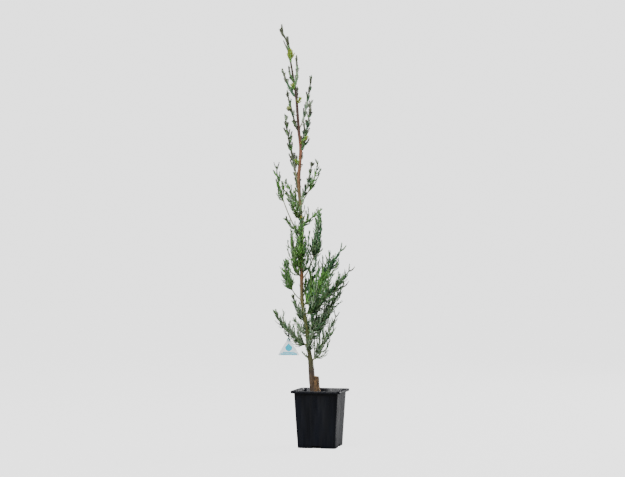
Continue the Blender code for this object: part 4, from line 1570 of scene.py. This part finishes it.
@dataclass
class Limbs:
    """The boughs and the stems in the masses, and all that grows on them."""

    growth: Growth
    stems: Stems
    foliage: Foliage
    inset: float = 0.0018  # how far a stem's foot is set into what it grows on
    fork_from: float = 0.86  # from where on a stem its shoots are stouter and stand in facing pairs
    fork_lean: float = 0.6
    fork_stout: float = 1.5
    side_shoot: float = 0.55  # a finer bough's shoots, as a share of its stem's
    side_pitch: float = 0.65
    side_sides: int = 6
    side_tip: float = 0.12  # how much nearer to its stem's tip a finer bough's tip counts
    sprig_lean: float = 1.1
    seed_step: float = 31  # what sets the reliefs of two stems apart, for each metre between their feet

    def __post_init__(self) -> None:
        """Starts the joined pieces."""
        self.wood, self.sprays, self.leaves = Skins(), Piles("sprays"), Piles("leaves")

    def build(self, bark: Material, shades: dict[Shade, Material]) -> None:
        """Makes every limb.

        Args:
            bark: The boughs' finish.
            shades: The leaves' finishes.
        """
        steps = self.growth.steps
        for limb in LIMBS:
            stem = self.growth.stem(limb)
            self.add_foot(limb, stem)
            start = limb.bare * stem.length + (GAP if limb.bare else 0)
            leafy = stem.part(start, stem.length, steps)
            self.add_mass(limb, leafy, stem.part(start * limb.habit.inner, stem.length, steps))
            self.wood.nodes |= set(limb.nodes)
        self.add_sprigs()
        self.add_foot(LEADER, LEADER_STEM)
        for tuft in TUFTS:
            self.add_tuft(tuft)
        self.add_mass(LEADER, LEADER_STEM, LEADER_STEM)
        self.wood.nodes |= set(LEADER.nodes)
        dress(self.wood.build("limb_stems"), bark, tuple(sorted(self.wood.nodes)))
        self.sprays.build(shades)
        self.leaves.build(shades)

    def add_foot(self, limb: Limb, stem: Line) -> None:
        """Adds a limb's stem, its foot swollen and set into the trunk.

        Args:
            limb: The limb's row.
            stem: Its line.
        """
        points = np.vstack([stem.points[0] - stem.heading(0) * self.inset, stem.points])
        rooted = Line(points, np.concatenate([stem.radii[:1], stem.radii]))
        self.stems.add_rod(self.wood, rooted, limb.foot * self.seed_step)

    def add_mass(self, limb: Limb, stem: Line, whole: Line) -> None:
        """Adds the finer boughs and the shoots of one mass, and the longer leaves on its stem.

        Args:
            limb: The mass's row.
            stem: The solid's stem.
            whole: The stretch that finer growth starts on, which runs further in.
        """
        name = self.sprays.node = self.leaves.node = "foliage_" + limb.name
        habit, shoots = limb.habit, self.growth.shoots
        chance = Chance("fine " + name)
        grown = shoots(name, stem, limb.shoot, limb.pitch, lean=habit.lean[0])
        for turn in range(1, habit.rounds + 1):
            start = turn * math.tau / (habit.rounds + 1)
            more = shoots(f"{name} {turn}", whole, limb.shoot * habit.short, limb.pitch, start, habit.lean[1])
            grown += [shoot for shoot in more if shoot.share < habit.slender]
        if not habit.sheath:
            facing = shoots(name, stem, limb.shoot, limb.pitch, math.pi, self.fork_lean)
            grown += [shoot for shoot in facing if shoot.share > self.fork_from]
            grown.append(self.growth.last_shoot(stem, limb.shoot))
            for shoot in grown:
                shoot.stout = self.fork_stout if shoot.share > self.fork_from else 1
        longest, pitch = limb.shoot * self.side_shoot, limb.pitch * self.side_pitch
        for number, (share, side) in enumerate(self.growth.side_boughs(name + " side", whole, habit)):
            self.stems.add_rod(self.wood, side, limb.foot * self.seed_step + number, self.side_sides)
            for shoot in shoots(f"{name} side {number}", side, longest, pitch, number, habit.lean[1]):
                shoot.share = share + self.side_tip * shoot.share
                grown.append(shoot)
            self.foliage.leaves_on(self.leaves.into(habit.deal(chance, False)), side, habit.leaf, chance)
        for shoot in grown:
            self.foliage.plume(self.sprays, shoot, habit, chance)
        self.foliage.leaves_on(self.leaves.into(habit.deal(chance, False)), whole, habit.leaf, chance)
        self.add_sheath(whole, habit, chance)

    def add_sheath(self, stem: Line, habit: Habit, chance: Chance) -> None:
        """Sheathes a stem in scale leaves, where its habit has them.

        Args:
            stem: The stem.
            habit: How its foliage grows.
            chance: The draws.
        """
        if habit.sheath:
            steps = round(stem.length / self.foliage.scale_length)
            points, shade = stem.at(np.linspace(0, stem.length, steps + 1)), habit.deal(chance, False)
            broad = across(stem.heading(0), 0)
            self.foliage.dull_tipped(self.sprays, shade, points, habit.sheath, broad, habit.dull_from)

    def add_sprigs(self) -> None:
        """Adds the short sprigs that hug the trunk between its lower limbs."""
        chance = Chance("sprigs")
        for limb, low, high, longest, pitch, habit in SPRIGS:
            self.sprays.node = "foliage_" + limb
            stretch = TRUNK.part(TRUNK.up_to(low), TRUNK.up_to(high), self.growth.steps)
            for shoot in self.growth.shoots("sprigs " + limb, stretch, longest, pitch, lean=self.sprig_lean):
                self.foliage.plume(self.sprays, shoot, habit, chance)

    def add_tuft(self, tuft: Tuft) -> None:
        """Adds a knot of fresh shoots, crowded along a short twig.

        Args:
            tuft: The knot's row.
        """
        twig, seed = tuft.line, f"tuft {tuft.height}"
        chance = Chance(seed)
        self.sprays.node = "foliage_" + tuft.limb
        self.stems.add_rod(self.wood, twig, tuft.height * self.seed_step)
        for shoot in self.growth.shoots(seed, twig, tuft.size, twig.length / tuft.count):
            self.foliage.plume(self.sprays, shoot, tuft.habit, chance)
        self.add_sheath(twig, tuft.habit, chance)


@dataclass(frozen=True)
class Cones:
    """The young cones and the dark buds, each a ball of swollen scales on its stalk."""

    scales: int = 12
    boss: float = 0.16  # how far each scale's middle stands out, as a share of the ball's radius
    boss_from: float = 0.965  # how near to a scale's middle that starts, as a cosine
    groove: float = 0.20
    groove_width: float = 0.12
    seat: float = 0.7  # how far above its stalk's end a ball's middle is, as a share of its radius
    dark_bud: float = 0.0023  # balls up to this radius are buds

    def build(self, stems: Stems, cone: Material, bud: Material, bark: Material) -> None:
        """Makes the balls and their stalks.

        Args:
            stems: The stalks' skins.
            cone: The young cones' finish.
            bud: The dark buds' finish.
            bark: The stalks'.
        """
        stalks = Skins()
        for number, spur in enumerate(YOUNG_CONES):
            stems.add_rod(stalks, spur.line, number)
            kind, finish = ("young_cone", cone) if spur.size > self.dark_bud else ("bud", bud)
            ball = self.ball(f"{kind}_{number}", spur)
            dress(ball, finish, ("foliage_" + spur.limb,))
        dress(stalks.build("cone_stalks"), bark)

    def ball(self, name: str, spur: Spur) -> Piece:
        """One ball of scales at a stalk's end.

        Args:
            name: The piece's name.
            spur: Its stalk, with its radius.

        Returns:
            The piece.
        """
        ball = primitive(bpy.ops.mesh.primitive_ico_sphere_add, name, subdivisions=4, radius=1)
        points = np.array([v.co for v in ball.data.vertices])
        k = np.arange(self.scales) + 0.5
        height, turn = 1 - 2 * k / self.scales, k * GOLDEN_TURN
        spread = np.sqrt(1 - height**2)
        middles = np.stack([spread * np.cos(turn), spread * np.sin(turn), height], axis=-1)
        near = np.sort(points @ middles.T, axis=1)[:, ::-1]
        edge = np.clip((near[:, 0] - near[:, 1]) / self.groove_width, 0, 1)
        raised = np.clip((near[:, 0] - self.boss_from) / (1 - self.boss_from), 0, 1)
        out = (1 - self.groove * (1 - edge) ** 2 + self.boss * raised) * spur.size
        made = turned(spur.line.points[-1] + UP * spur.size * self.seat + points * out[:, None])
        ball.data.vertices.foreach_set("co", made.ravel())
        ball.data.update()
        return ball


# The pot and its soil


@dataclass
class NurseryPot:
    """A square injection-moulded pot with a turned-down lip, drain slots and floor holes."""

    height: float = 0.111
    lip_side: float = 0.100
    top_side: float = 0.0890
    foot_side: float = 0.0760
    foot_corner: float = 0.0065
    wall: float = 0.0012
    floor: float = 0.0016
    lip_drop: float = 0.0045
    edge: float = 0.00045  # the rounding of its edges
    rows: int = 14  # the body's wall, from its foot to its lip
    columns: int = 24  # of one side's wall
    wave: float = 0.00044  # how far the thin wall wanders
    wave_size: Triple = (0.009, 0.009, 0.11)
    fade_foot: float = 0.02  # over how much of its height the waves come up, and go under its lip
    fade_lip: float = 0.01
    slot_size: Triple = (0.009, 0.0185, 0.0090)
    slot_corner: float = 0.0012
    hole_radius: float = 0.0035
    hole_out: float = 0.0170

    def build(self, plastic: Material) -> None:
        """Makes the pot.

        Args:
            plastic: Its finish.
        """
        pot = self.shell()
        self.wander(pot)
        modify(pot, "BEVEL", width=self.edge, segments=2, limit_method="ANGLE", angle_limit=math.radians(50))
        for quarter in range(4):
            self.drain(pot, math.pi / 2 * quarter)
        dress(pot, plastic, ("pot",), 35)

    def side_at(self, height: float) -> float:
        """The body's outer side at a height."""
        return self.foot_side + (self.top_side - self.foot_side) * height / self.height

    @property
    def profile(self) -> list[Pair]:
        """Draws the wall's section.

        Returns:
            The side and height of each square that the wall goes through after its foot.
        """
        under_lip, lip_foot, inside = self.height - self.wall, self.height - self.lip_drop, 2 * self.wall
        body = [(self.side_at(z), z) for z in np.linspace(0, under_lip, self.rows + 1)[1:]]
        lip_sides = (self.lip_side - inside,) * 2 + (self.lip_side,) * 2 + (self.top_side - inside,)
        lip = list(zip(lip_sides, (under_lip, lip_foot, lip_foot, self.height, self.height)))
        return body + lip + [(self.side_at(self.floor) - inside, self.floor)]

    def shell(self) -> Piece:
        """Draws the closed shell: a rounded square, extruded from ring to ring along the wall's profile.

        Returns:
            The pot.
        """
        pot = primitive(bpy.ops.mesh.primitive_plane_add, "pot_shell", size=self.foot_side)
        bpy.ops.object.mode_set(mode="EDIT")
        bpy.ops.mesh.select_mode(type="VERT")
        bpy.ops.mesh.select_all(action="SELECT")
        bpy.ops.mesh.bevel(offset=self.foot_corner, segments=6, affect="VERTICES")
        bpy.ops.mesh.select_mode(type="EDGE")
        bpy.ops.mesh.select_all(action="DESELECT")
        mesh = bmesh.from_edit_mesh(pot.data)
        for edge in mesh.edges:
            edge.select_set(edge.calc_length() > self.foot_side / 2)
        bmesh.update_edit_mesh(pot.data)
        bpy.ops.mesh.subdivide(number_cuts=self.columns - 1)
        bpy.ops.mesh.select_all(action="SELECT")
        bpy.ops.mesh.select_mode(type="FACE")
        side, height = self.foot_side, 0.0
        for next_side, next_height in self.profile:
            bpy.ops.mesh.extrude_region_move(TRANSFORM_OT_translate={"value": (0, 0, next_height - height)})
            grow = next_side / side
            bpy.ops.transform.resize(value=(grow, grow, 1), center_override=(0, 0, next_height))
            side, height = next_side, next_height
        bpy.ops.mesh.select_all(action="SELECT")
        bpy.ops.mesh.normals_make_consistent(inside=False)
        bpy.ops.object.mode_set(mode="OBJECT")
        return pot

    def wander(self, pot: Piece) -> None:
        """Lets the thin walls wander a little in and out, in long upright waves.

        Args:
            pot: The pot.
        """
        for vertex in pot.data.vertices:
            x, y, z = vertex.co
            fade = min(1, z / self.fade_foot, max(0, self.height - self.lip_drop - z) / self.fade_lip)
            wave = noise.noise(Vector([c / size for c, size in zip((x, y, z), self.wave_size)]))
            vertex.co += Vector((x, y, 0)).normalized() * wave * self.wave * fade

    def drain(self, pot: Piece, turn: float) -> None:
        """Cuts the drain slot in one side's foot, and the floor hole in one corner.

        Args:
            pot: The pot.
            turn: Which way the side faces.
        """
        turning = Matrix.Rotation(turn, 3, "Z")
        middle = turning @ Vector((self.foot_side / 2, 0, 0))
        sizes = {"size": 1, "location": middle, "rotation": (0, 0, turn)}
        slot = primitive(bpy.ops.mesh.primitive_cube_add, "slot", self.slot_size, **sizes)
        modify(slot, "BEVEL", width=self.slot_corner, segments=3)
        cut_out(pot, slot)
        corner = turning @ Vector((self.hole_out, self.hole_out, 0))
        sizes = {"vertices": 24, "radius": self.hole_radius, "depth": 6 * self.floor, "location": corner}
        cut_out(pot, primitive(bpy.ops.mesh.primitive_cylinder_add, "hole", **sizes))


@dataclass
class PottingSoil:
    """The block of peat in the pot, with an uneven top and loose crumbs on it."""

    top: float = 0.099
    foot: float = 0.0019
    clear: float = 0.0015  # between the soil and the pot's outer face
    top_cells: int = 46
    unevenness: float = 0.0016
    lump: float = 0.006
    crumbs: int = 900
    crumb: float = 0.0017
    crumb_sizes: Pair = (0.4, 1.5)
    crumb_bends: Pair = (0.7, 1.3)
    crumb_stretches: tuple[Pair, ...] = ((0.6, 1.6), (0.6, 1.2), (0.4, 0.8))

    def build(self, pot: NurseryPot, peat: Material) -> None:
        """Makes the block and the crumbs.

        Args:
            pot: The pot that it fills.
            peat: Its finish.
        """
        low, high = (pot.side_at(height) / 2 - self.clear for height in (self.foot, self.top))
        tall = self.top - self.foot
        sizes = {"size": 1, "location": (0, 0, (self.foot + self.top) / 2)}
        block = primitive(bpy.ops.mesh.primitive_cube_add, "soil_block", (2 * low, 2 * low, tall), **sizes)
        bpy.ops.object.mode_set(mode="EDIT")
        bpy.ops.mesh.select_mode(type="FACE")
        bpy.ops.mesh.select_all(action="DESELECT")
        mesh = bmesh.from_edit_mesh(block.data)
        for face in mesh.faces:
            face.select_set(face.normal.z > 0.5)
        bmesh.update_edit_mesh(block.data)
        bpy.ops.transform.resize(value=(high / low, high / low, 1), center_override=(0, 0, self.top))
        bpy.ops.mesh.subdivide(number_cuts=self.top_cells)
        bpy.ops.object.mode_set(mode="OBJECT")
        corner = pot.foot_corner
        for vertex in block.data.vertices:
            x, y, z = vertex.co
            straight = low + (high - low) * (z - self.foot) / tall - corner
            over = Vector((max(0, abs(x) - straight), max(0, abs(y) - straight)))
            if over.length > corner:
                over *= corner / over.length
                x, y = math.copysign(straight + over.x, x), math.copysign(straight + over.y, y)
            if z > self.top - 1e-5:
                z -= self.unevenness * (0.5 + 0.5 * noise.fractal(Vector((x, y, 0)) / self.lump, 1.0, 2.0, 4))
            vertex.co = (x, y, z)
        dress(block, peat, ("soil",))
        self.scatter(high - corner, peat)

    def scatter(self, half: float, peat: Material) -> None:
        """Strews loose crumbs, each a bent icosahedron, over the top.

        Args:
            half: How far from the middle they lie.
            peat: Their finish.
        """
        chance = Chance("crumbs")
        phi, signs = (1 + 5**0.5) / 2, list(product((-1, 1), repeat=2))
        rows = [(0, s, t * phi) for s, t in signs]
        rows += [(s, t * phi, 0) for s, t in signs] + [(t * phi, 0, s) for s, t in signs]
        corners = unit(np.array(rows, float))
        apart = np.linalg.norm(corners[:, None] - corners[None], axis=2)
        near = apart < apart[apart > 0.1].min() * 1.1
        faces = []
        for i, j, k in combinations(range(12), 3):
            if near[i, j] and near[j, k] and near[i, k]:
                out = np.cross(corners[j] - corners[i], corners[k] - corners[i]) @ corners[i]
                faces.append((i, j, k) if out > 0 else (i, k, j))
        solids = []
        for _ in range(self.crumbs):
            size = self.crumb * chance.uniform(*self.crumb_sizes)
            shape = np.array([chance.uniform(*self.crumb_bends) for _ in range(len(corners))])[:, None]
            stretch = np.array([chance.uniform(*span) for span in self.crumb_stretches])
            place = (chance.uniform(-half, half), chance.uniform(-half, half), self.top - self.unevenness / 2)
            solids.append(np.array(place) + corners * shape * stretch * size)
        skins = Skins()
        skins.add_solids(np.array(solids), np.array(faces))
        dress(skins.build("soil_crumbs"), peat, ("soil",), 30)


# The tag


@dataclass
class HangTag:
    """A triangular card on a looped tie, with a plain print of its own."""

    growth: Growth
    limb: str = "left_low"
    along: float = 0.50
    width: float = 0.043
    height: float = 0.036
    thickness: float = 0.0008
    corner: float = 0.0026
    strips: int = 12  # that its faces are cut in, so that it can curl
    curl: float = 0.0009
    hole_radius: float = 0.0016
    hole_below_top: float = 0.0046
    tie_drop: float = 0.0140
    tie_radius: float = 0.00105
    solid_tie_radius: float = 0.0005  # of the solid that the tie stands for
    tie_half_width: float = 0.0026
    tie_steps: int = 40
    legs_apart: float = 0.00062  # from the twist's middle to each leg's
    legs_close: float = 0.13  # the share of the tie's drop over which they come together
    twists: float = 2.0
    twist_from: float = 0.1  # where the twist starts, as a share of the drop, and how long it is
    twist_span: float = 0.75
    splay: float = 0.0007  # how far the legs part again at the card, and from where on
    splay_from: float = 0.85
    eye: Pair = (0.00132, 0.0026)  # half the width and the depth of its lower end
    print_depth: float = 0.00008
    drop: Pair = (0.0070, 0.0076)  # the printed drop's size, about its middle
    drop_below: float = 0.0155  # from the hole to its middle
    rules: tuple[Triple, ...] = (  # the foot, half width and height of each ruled line
        (-0.0262, 0.0120, 0.0016), (-0.0300, 0.0165, 0.0026)
    )
    ring: Pair = (1.9, 1.35)  # the printed ring's radii, as shares of the hole's
    ring_steps: int = 24

    def build(self, card: Material, ink: Material, cord: Material) -> None:
        """Makes the card, its print and its tie.

        Args:
            card: The card's finish.
            ink: The print's.
            cord: The tie's.
        """
        stem = self.growth.stem(next(limb for limb in LIMBS if limb.name == self.limb))
        distance = self.along * stem.length
        ahead = stem.heading(distance)
        top = float(stem.radius(distance)) / math.hypot(ahead[0], ahead[1])
        rise = GAP + self.solid_tie_radius - self.tie_half_width
        hang = Vector(stem.at(distance) + UP * (top + rise))
        hole = hang - Vector(UP) * (self.tie_drop - rise + self.hole_radius)
        self.tie(hang, cord)
        self.card(hole, card)
        self.print(hole, ink)

    def curl_and_dress(self, piece: Piece, finish: Material, nodes: tuple[str, ...], hole: Vector) -> None:
        """Curls the card or its print a little, as card that has been damp, and turns it to the pot's frame.

        Args:
            piece: The card or the print.
            finish: Its finish.
            nodes: The solids that it stands for.
            hole: The middle of the card's hole.
        """
        for vertex in piece.data.vertices:
            vertex.co.y -= self.curl * ((vertex.co.x - hole.x) / (self.width / 2)) ** 2
        piece.data.transform(Matrix.Rotation(PLANT_TURN, 4, "Z"))
        dress(piece, finish, nodes, 35)

    def cut_strips(self, hole: Vector) -> None:
        """Cuts the mesh in edit mode in upright strips, which can curl.

        Args:
            hole: The middle of the card's hole.
        """
        for step in range(1, self.strips):
            bpy.ops.mesh.select_all(action="SELECT")
            at = hole.x + self.width * (step / self.strips - 0.5)
            bpy.ops.mesh.bisect(plane_co=(at, 0, 0), plane_no=(1, 0, 0))

    def card(self, hole: Vector, finish: Material) -> None:
        """Makes the card, a rounded triangle with its point up and a hole below it.

        Args:
            hole: The middle of its hole.
            finish: Its finish.
        """
        upright = (math.pi / 2, 0, 0)
        sizes = {"vertices": 3, "radius": 1, "fill_type": "NGON", "rotation": upright}
        tag = primitive(bpy.ops.mesh.primitive_circle_add, "tag_card", **sizes)
        spots = [v.co.copy() for v in tag.data.vertices]
        low, high, wide = min(s.z for s in spots), max(s.z for s in spots), max(s.x for s in spots)
        for vertex, spot in zip(tag.data.vertices, spots):
            x = hole.x + spot.x / wide * self.width / 2
            z = hole.z + self.hole_below_top - self.height * (high - spot.z) / (high - low)
            vertex.co = (x, hole.y + self.thickness / 2, z)
        bpy.ops.object.mode_set(mode="EDIT")
        bpy.ops.mesh.select_all(action="SELECT")
        bpy.ops.mesh.bevel(offset=self.corner, segments=6, affect="VERTICES")
        bpy.ops.mesh.select_all(action="SELECT")
        bpy.ops.mesh.extrude_region_move(TRANSFORM_OT_translate={"value": (0, -self.thickness, 0)})
        self.cut_strips(hole)
        bpy.ops.mesh.select_all(action="SELECT")
        bpy.ops.mesh.normals_make_consistent(inside=False)
        sizes = {"vertices": 24, "radius": self.hole_radius, "depth": 0.01, "location": hole}
        cut_out(tag, primitive(bpy.ops.mesh.primitive_cylinder_add, "hole", **sizes, rotation=upright))
        self.curl_and_dress(tag, finish, ("tag",), hole)

    def print(self, hole: Vector, finish: Material) -> None:
        """Makes the print on both faces: a drop over two ruled lines, and a ring round the hole.

        Args:
            hole: The middle of the card's hole.
            finish: Its finish.
        """
        turns = np.arange(self.ring_steps) * math.tau / self.ring_steps
        fall = np.cos(turns)
        waist = np.sin(turns) * (1 - np.maximum(0, fall)) ** 0.7
        shapes = [list(zip(self.drop[0] * waist, self.drop[1] * fall - self.drop_below))]
        for low, half, tall in self.rules:
            shapes.append([(-half, low), (half, low), (half, low + tall), (-half, low + tall)])
        for share in self.ring:
            radius = self.hole_radius * share
            shapes.append(list(zip(radius * np.sin(turns), radius * fall)))
        mesh = bmesh.new()
        for face in (1, -1):
            y = hole.y - face * (self.thickness / 2 + self.print_depth)
            rims = [[mesh.verts.new((hole.x + x, y, hole.z + z)) for x, z in shape] for shape in shapes]
            for rim in rims[:-2]:
                mesh.faces.new(rim)
            outer, inner = rims[-2:]
            for k in range(self.ring_steps):
                j = (k + 1) % self.ring_steps
                mesh.faces.new((outer[k], outer[j], inner[j], inner[k]))
        bmesh.ops.triangulate(mesh, faces=[f for f in mesh.faces if len(f.verts) > 4])
        made = bpy.data.meshes.new("tag_print")
        mesh.to_mesh(made)
        mesh.free()
        piece = link_up("tag_print", made)
        pick(piece)
        bpy.ops.object.mode_set(mode="EDIT")
        self.cut_strips(hole)
        bpy.ops.object.mode_set(mode="OBJECT")
        modify(piece, "SOLIDIFY", thickness=self.print_depth * 1.5, offset=0)
        self.curl_and_dress(piece, finish, (), hole)

    def leg(self, turn: float) -> list[Vector]:
        """One leg of the tie, twisted with the other on their way to the card.

        Args:
            turn: Which side of the twist it starts on.

        Returns:
            Its points, from the top.
        """
        points = []
        for step in range(self.tie_steps + 1):
            share = step / self.tie_steps
            apart = self.legs_apart + self.splay * max(0, share - self.splay_from) / (1 - self.splay_from)
            apart += (self.tie_half_width - self.legs_apart) * math.exp(-((share / self.legs_close) ** 2))
            twisted = min(1, max(0, share - self.twist_from) / self.twist_span)
            angle = turn + math.pi / 2 + math.tau * self.twists * twisted
            points.append(Vector((math.cos(angle) * apart, math.sin(angle) * apart, -self.tie_drop * share)))
        return points

    def tie(self, hang: Vector, finish: Material) -> None:
        """Makes the tie: a loop over the limb whose two legs go through the card's hole.

        Args:
            hang: The middle of the loop's upper end.
            finish: Its finish.
        """
        wide, deep = self.eye
        arch, dip = (np.linspace(0, math.pi, count)[1:-1] for count in (14, 12))
        over = [Vector((0, math.cos(a), math.sin(a))) * self.tie_half_width for a in arch]
        under = [Vector((0, -math.cos(a) * wide, -self.tie_drop - math.sin(a) * deep)) for a in dip]
        path = self.leg(0)[::-1] + over + self.leg(math.pi) + under
        curve = bpy.data.curves.new("tag_tie", "CURVE")
        curve.dimensions = "3D"
        curve.bevel_depth = self.tie_radius
        curve.bevel_resolution = 3
        ring = curve.splines.new("POLY")
        ring.points.add(len(path) - 1)
        for point, spot in zip(ring.points, path):
            point.co = (*(hang + spot), 1)
        ring.use_cyclic_u = True
        pick(link_up("tag_tie_cord", curve))
        bpy.ops.object.convert(target="MESH")
        tie = bpy.context.object
        tie.data.transform(Matrix.Rotation(PLANT_TURN, 4, "Z"))
        dress(tie, finish, ("tag_tie",))


# The studio


@dataclass(frozen=True)
class SoftBox:
    """A square soft light, aimed at the plant."""

    name: str
    spot: Triple
    aim: float  # the height that it points at
    size: float
    power: float  # in watts
    gloss: float = 1  # how much of it shows in what shines

    def build(self) -> None:
        """Hangs the light."""
        lamp = bpy.data.lights.new(self.name, "AREA")
        lamp.size = self.size
        lamp.energy = self.power
        lamp.specular_factor = self.gloss
        box = link_up(self.name, lamp)
        box.location = self.spot
        way = Vector((0, 0, self.aim)) - Vector(self.spot)
        box.rotation_euler = way.to_track_quat("-Z", "Y").to_euler()


@dataclass(frozen=True)
class Studio:
    """A white floor, soft light from above and both sides, and the camera."""

    lens: float = 69.7
    sensor: float = 36.0
    place: Triple = (-0.0154, -2.4, 0.2914)  # in the plant's frame
    tilt: float = math.radians(2.82)  # upward
    floor_radius: float = 30.0
    sky_light: float = 0.16
    boxes: tuple[SoftBox, ...] = (
        SoftBox("top", (-0.5, -1.2, 2.5), 0.35, 1.5, 110, 0.5),
        SoftBox("right", (2.0, 1.6, 0.9), 0.3, 1.6, 170),
        SoftBox("left", (-2.2, -0.2, 1.5), 0.4, 1.4, 30),
        SoftBox("front", (-0.3, -2.7, 2.1), 0.4, 1.2, 95, 0.4),
    )

    def build(self) -> None:
        """Sets up the floor, the lights, the sky and the camera."""
        sizes = {"vertices": 96, "radius": self.floor_radius, "fill_type": "NGON"}
        floor = primitive(bpy.ops.mesh.primitive_circle_add, "studio_floor", **sizes)
        floor.data.materials.append(FLOOR.build())
        for box in self.boxes:
            box.build()
        self.sky()
        self.camera()

    def sky(self) -> None:
        """Makes a white sky for the eye, and a dimmer one for what the part reflects."""
        world = bpy.data.worlds.new("studio")
        bpy.context.scene.world = world
        world.use_nodes = True
        background = world.node_tree.nodes["Background"]
        seen = add_node(background, "ShaderNodeLightPath").outputs["Is Camera Ray"]
        strength = {"Value": seen, "To Min": self.sky_light, "To Max": FLOOR.glow}
        bright = add_node(background, "ShaderNodeMapRange", strength).outputs["Result"]
        feed(background, {"Color": (1, 1, 1, 1), "Strength": bright})

    def camera(self) -> None:
        """Sets the camera at the angle that shows the pot's front and right side."""
        lens = bpy.data.cameras.new("camera")
        lens.lens = self.lens
        lens.sensor_width = self.sensor
        camera = link_up("camera", lens)
        camera.location = Matrix.Rotation(PLANT_TURN, 3, "Z") @ Vector(self.place)
        camera.rotation_euler = (math.pi / 2 + self.tilt, 0, PLANT_TURN)
        bpy.context.scene.camera = camera


def main() -> None:
    """Builds the studio and the part, piece by piece."""
    logging.basicConfig(level=logging.INFO, format="%(message)s")
    Studio().build()
    pot = NurseryPot()
    pot.build(PLASTIC.build())
    PottingSoil().build(pot, PEAT.build())
    growth, stems = Growth(), Stems()
    trunk = Trunk(stems)
    pith = tuple(turned(np.array(trunk.stub_top)))
    wood = CutWood("weathered cut wood", "d8c196", 0.85, centre=pith)
    trunk.build(TRUNK_BARK.build(), STUB_BARK.build(), wood.build())
    shades = {}
    for shade in Shade:
        dark, light = shade.value
        finish = Mottled(f"scale leaves {shade.name.lower()}", dark, 0.55, shine=0.3, second=light)
        shades[shade] = finish.build()
    Limbs(growth, stems, Foliage(growth)).build(LIMB_BARK.build(), shades)
    Cones().build(stems, CONE.build(), BUD.build(), LIMB_BARK.build())
    HangTag(growth).build(CARD.build(), INK.build(), ELASTIC.build())


if __name__ == "__main__":
    main()
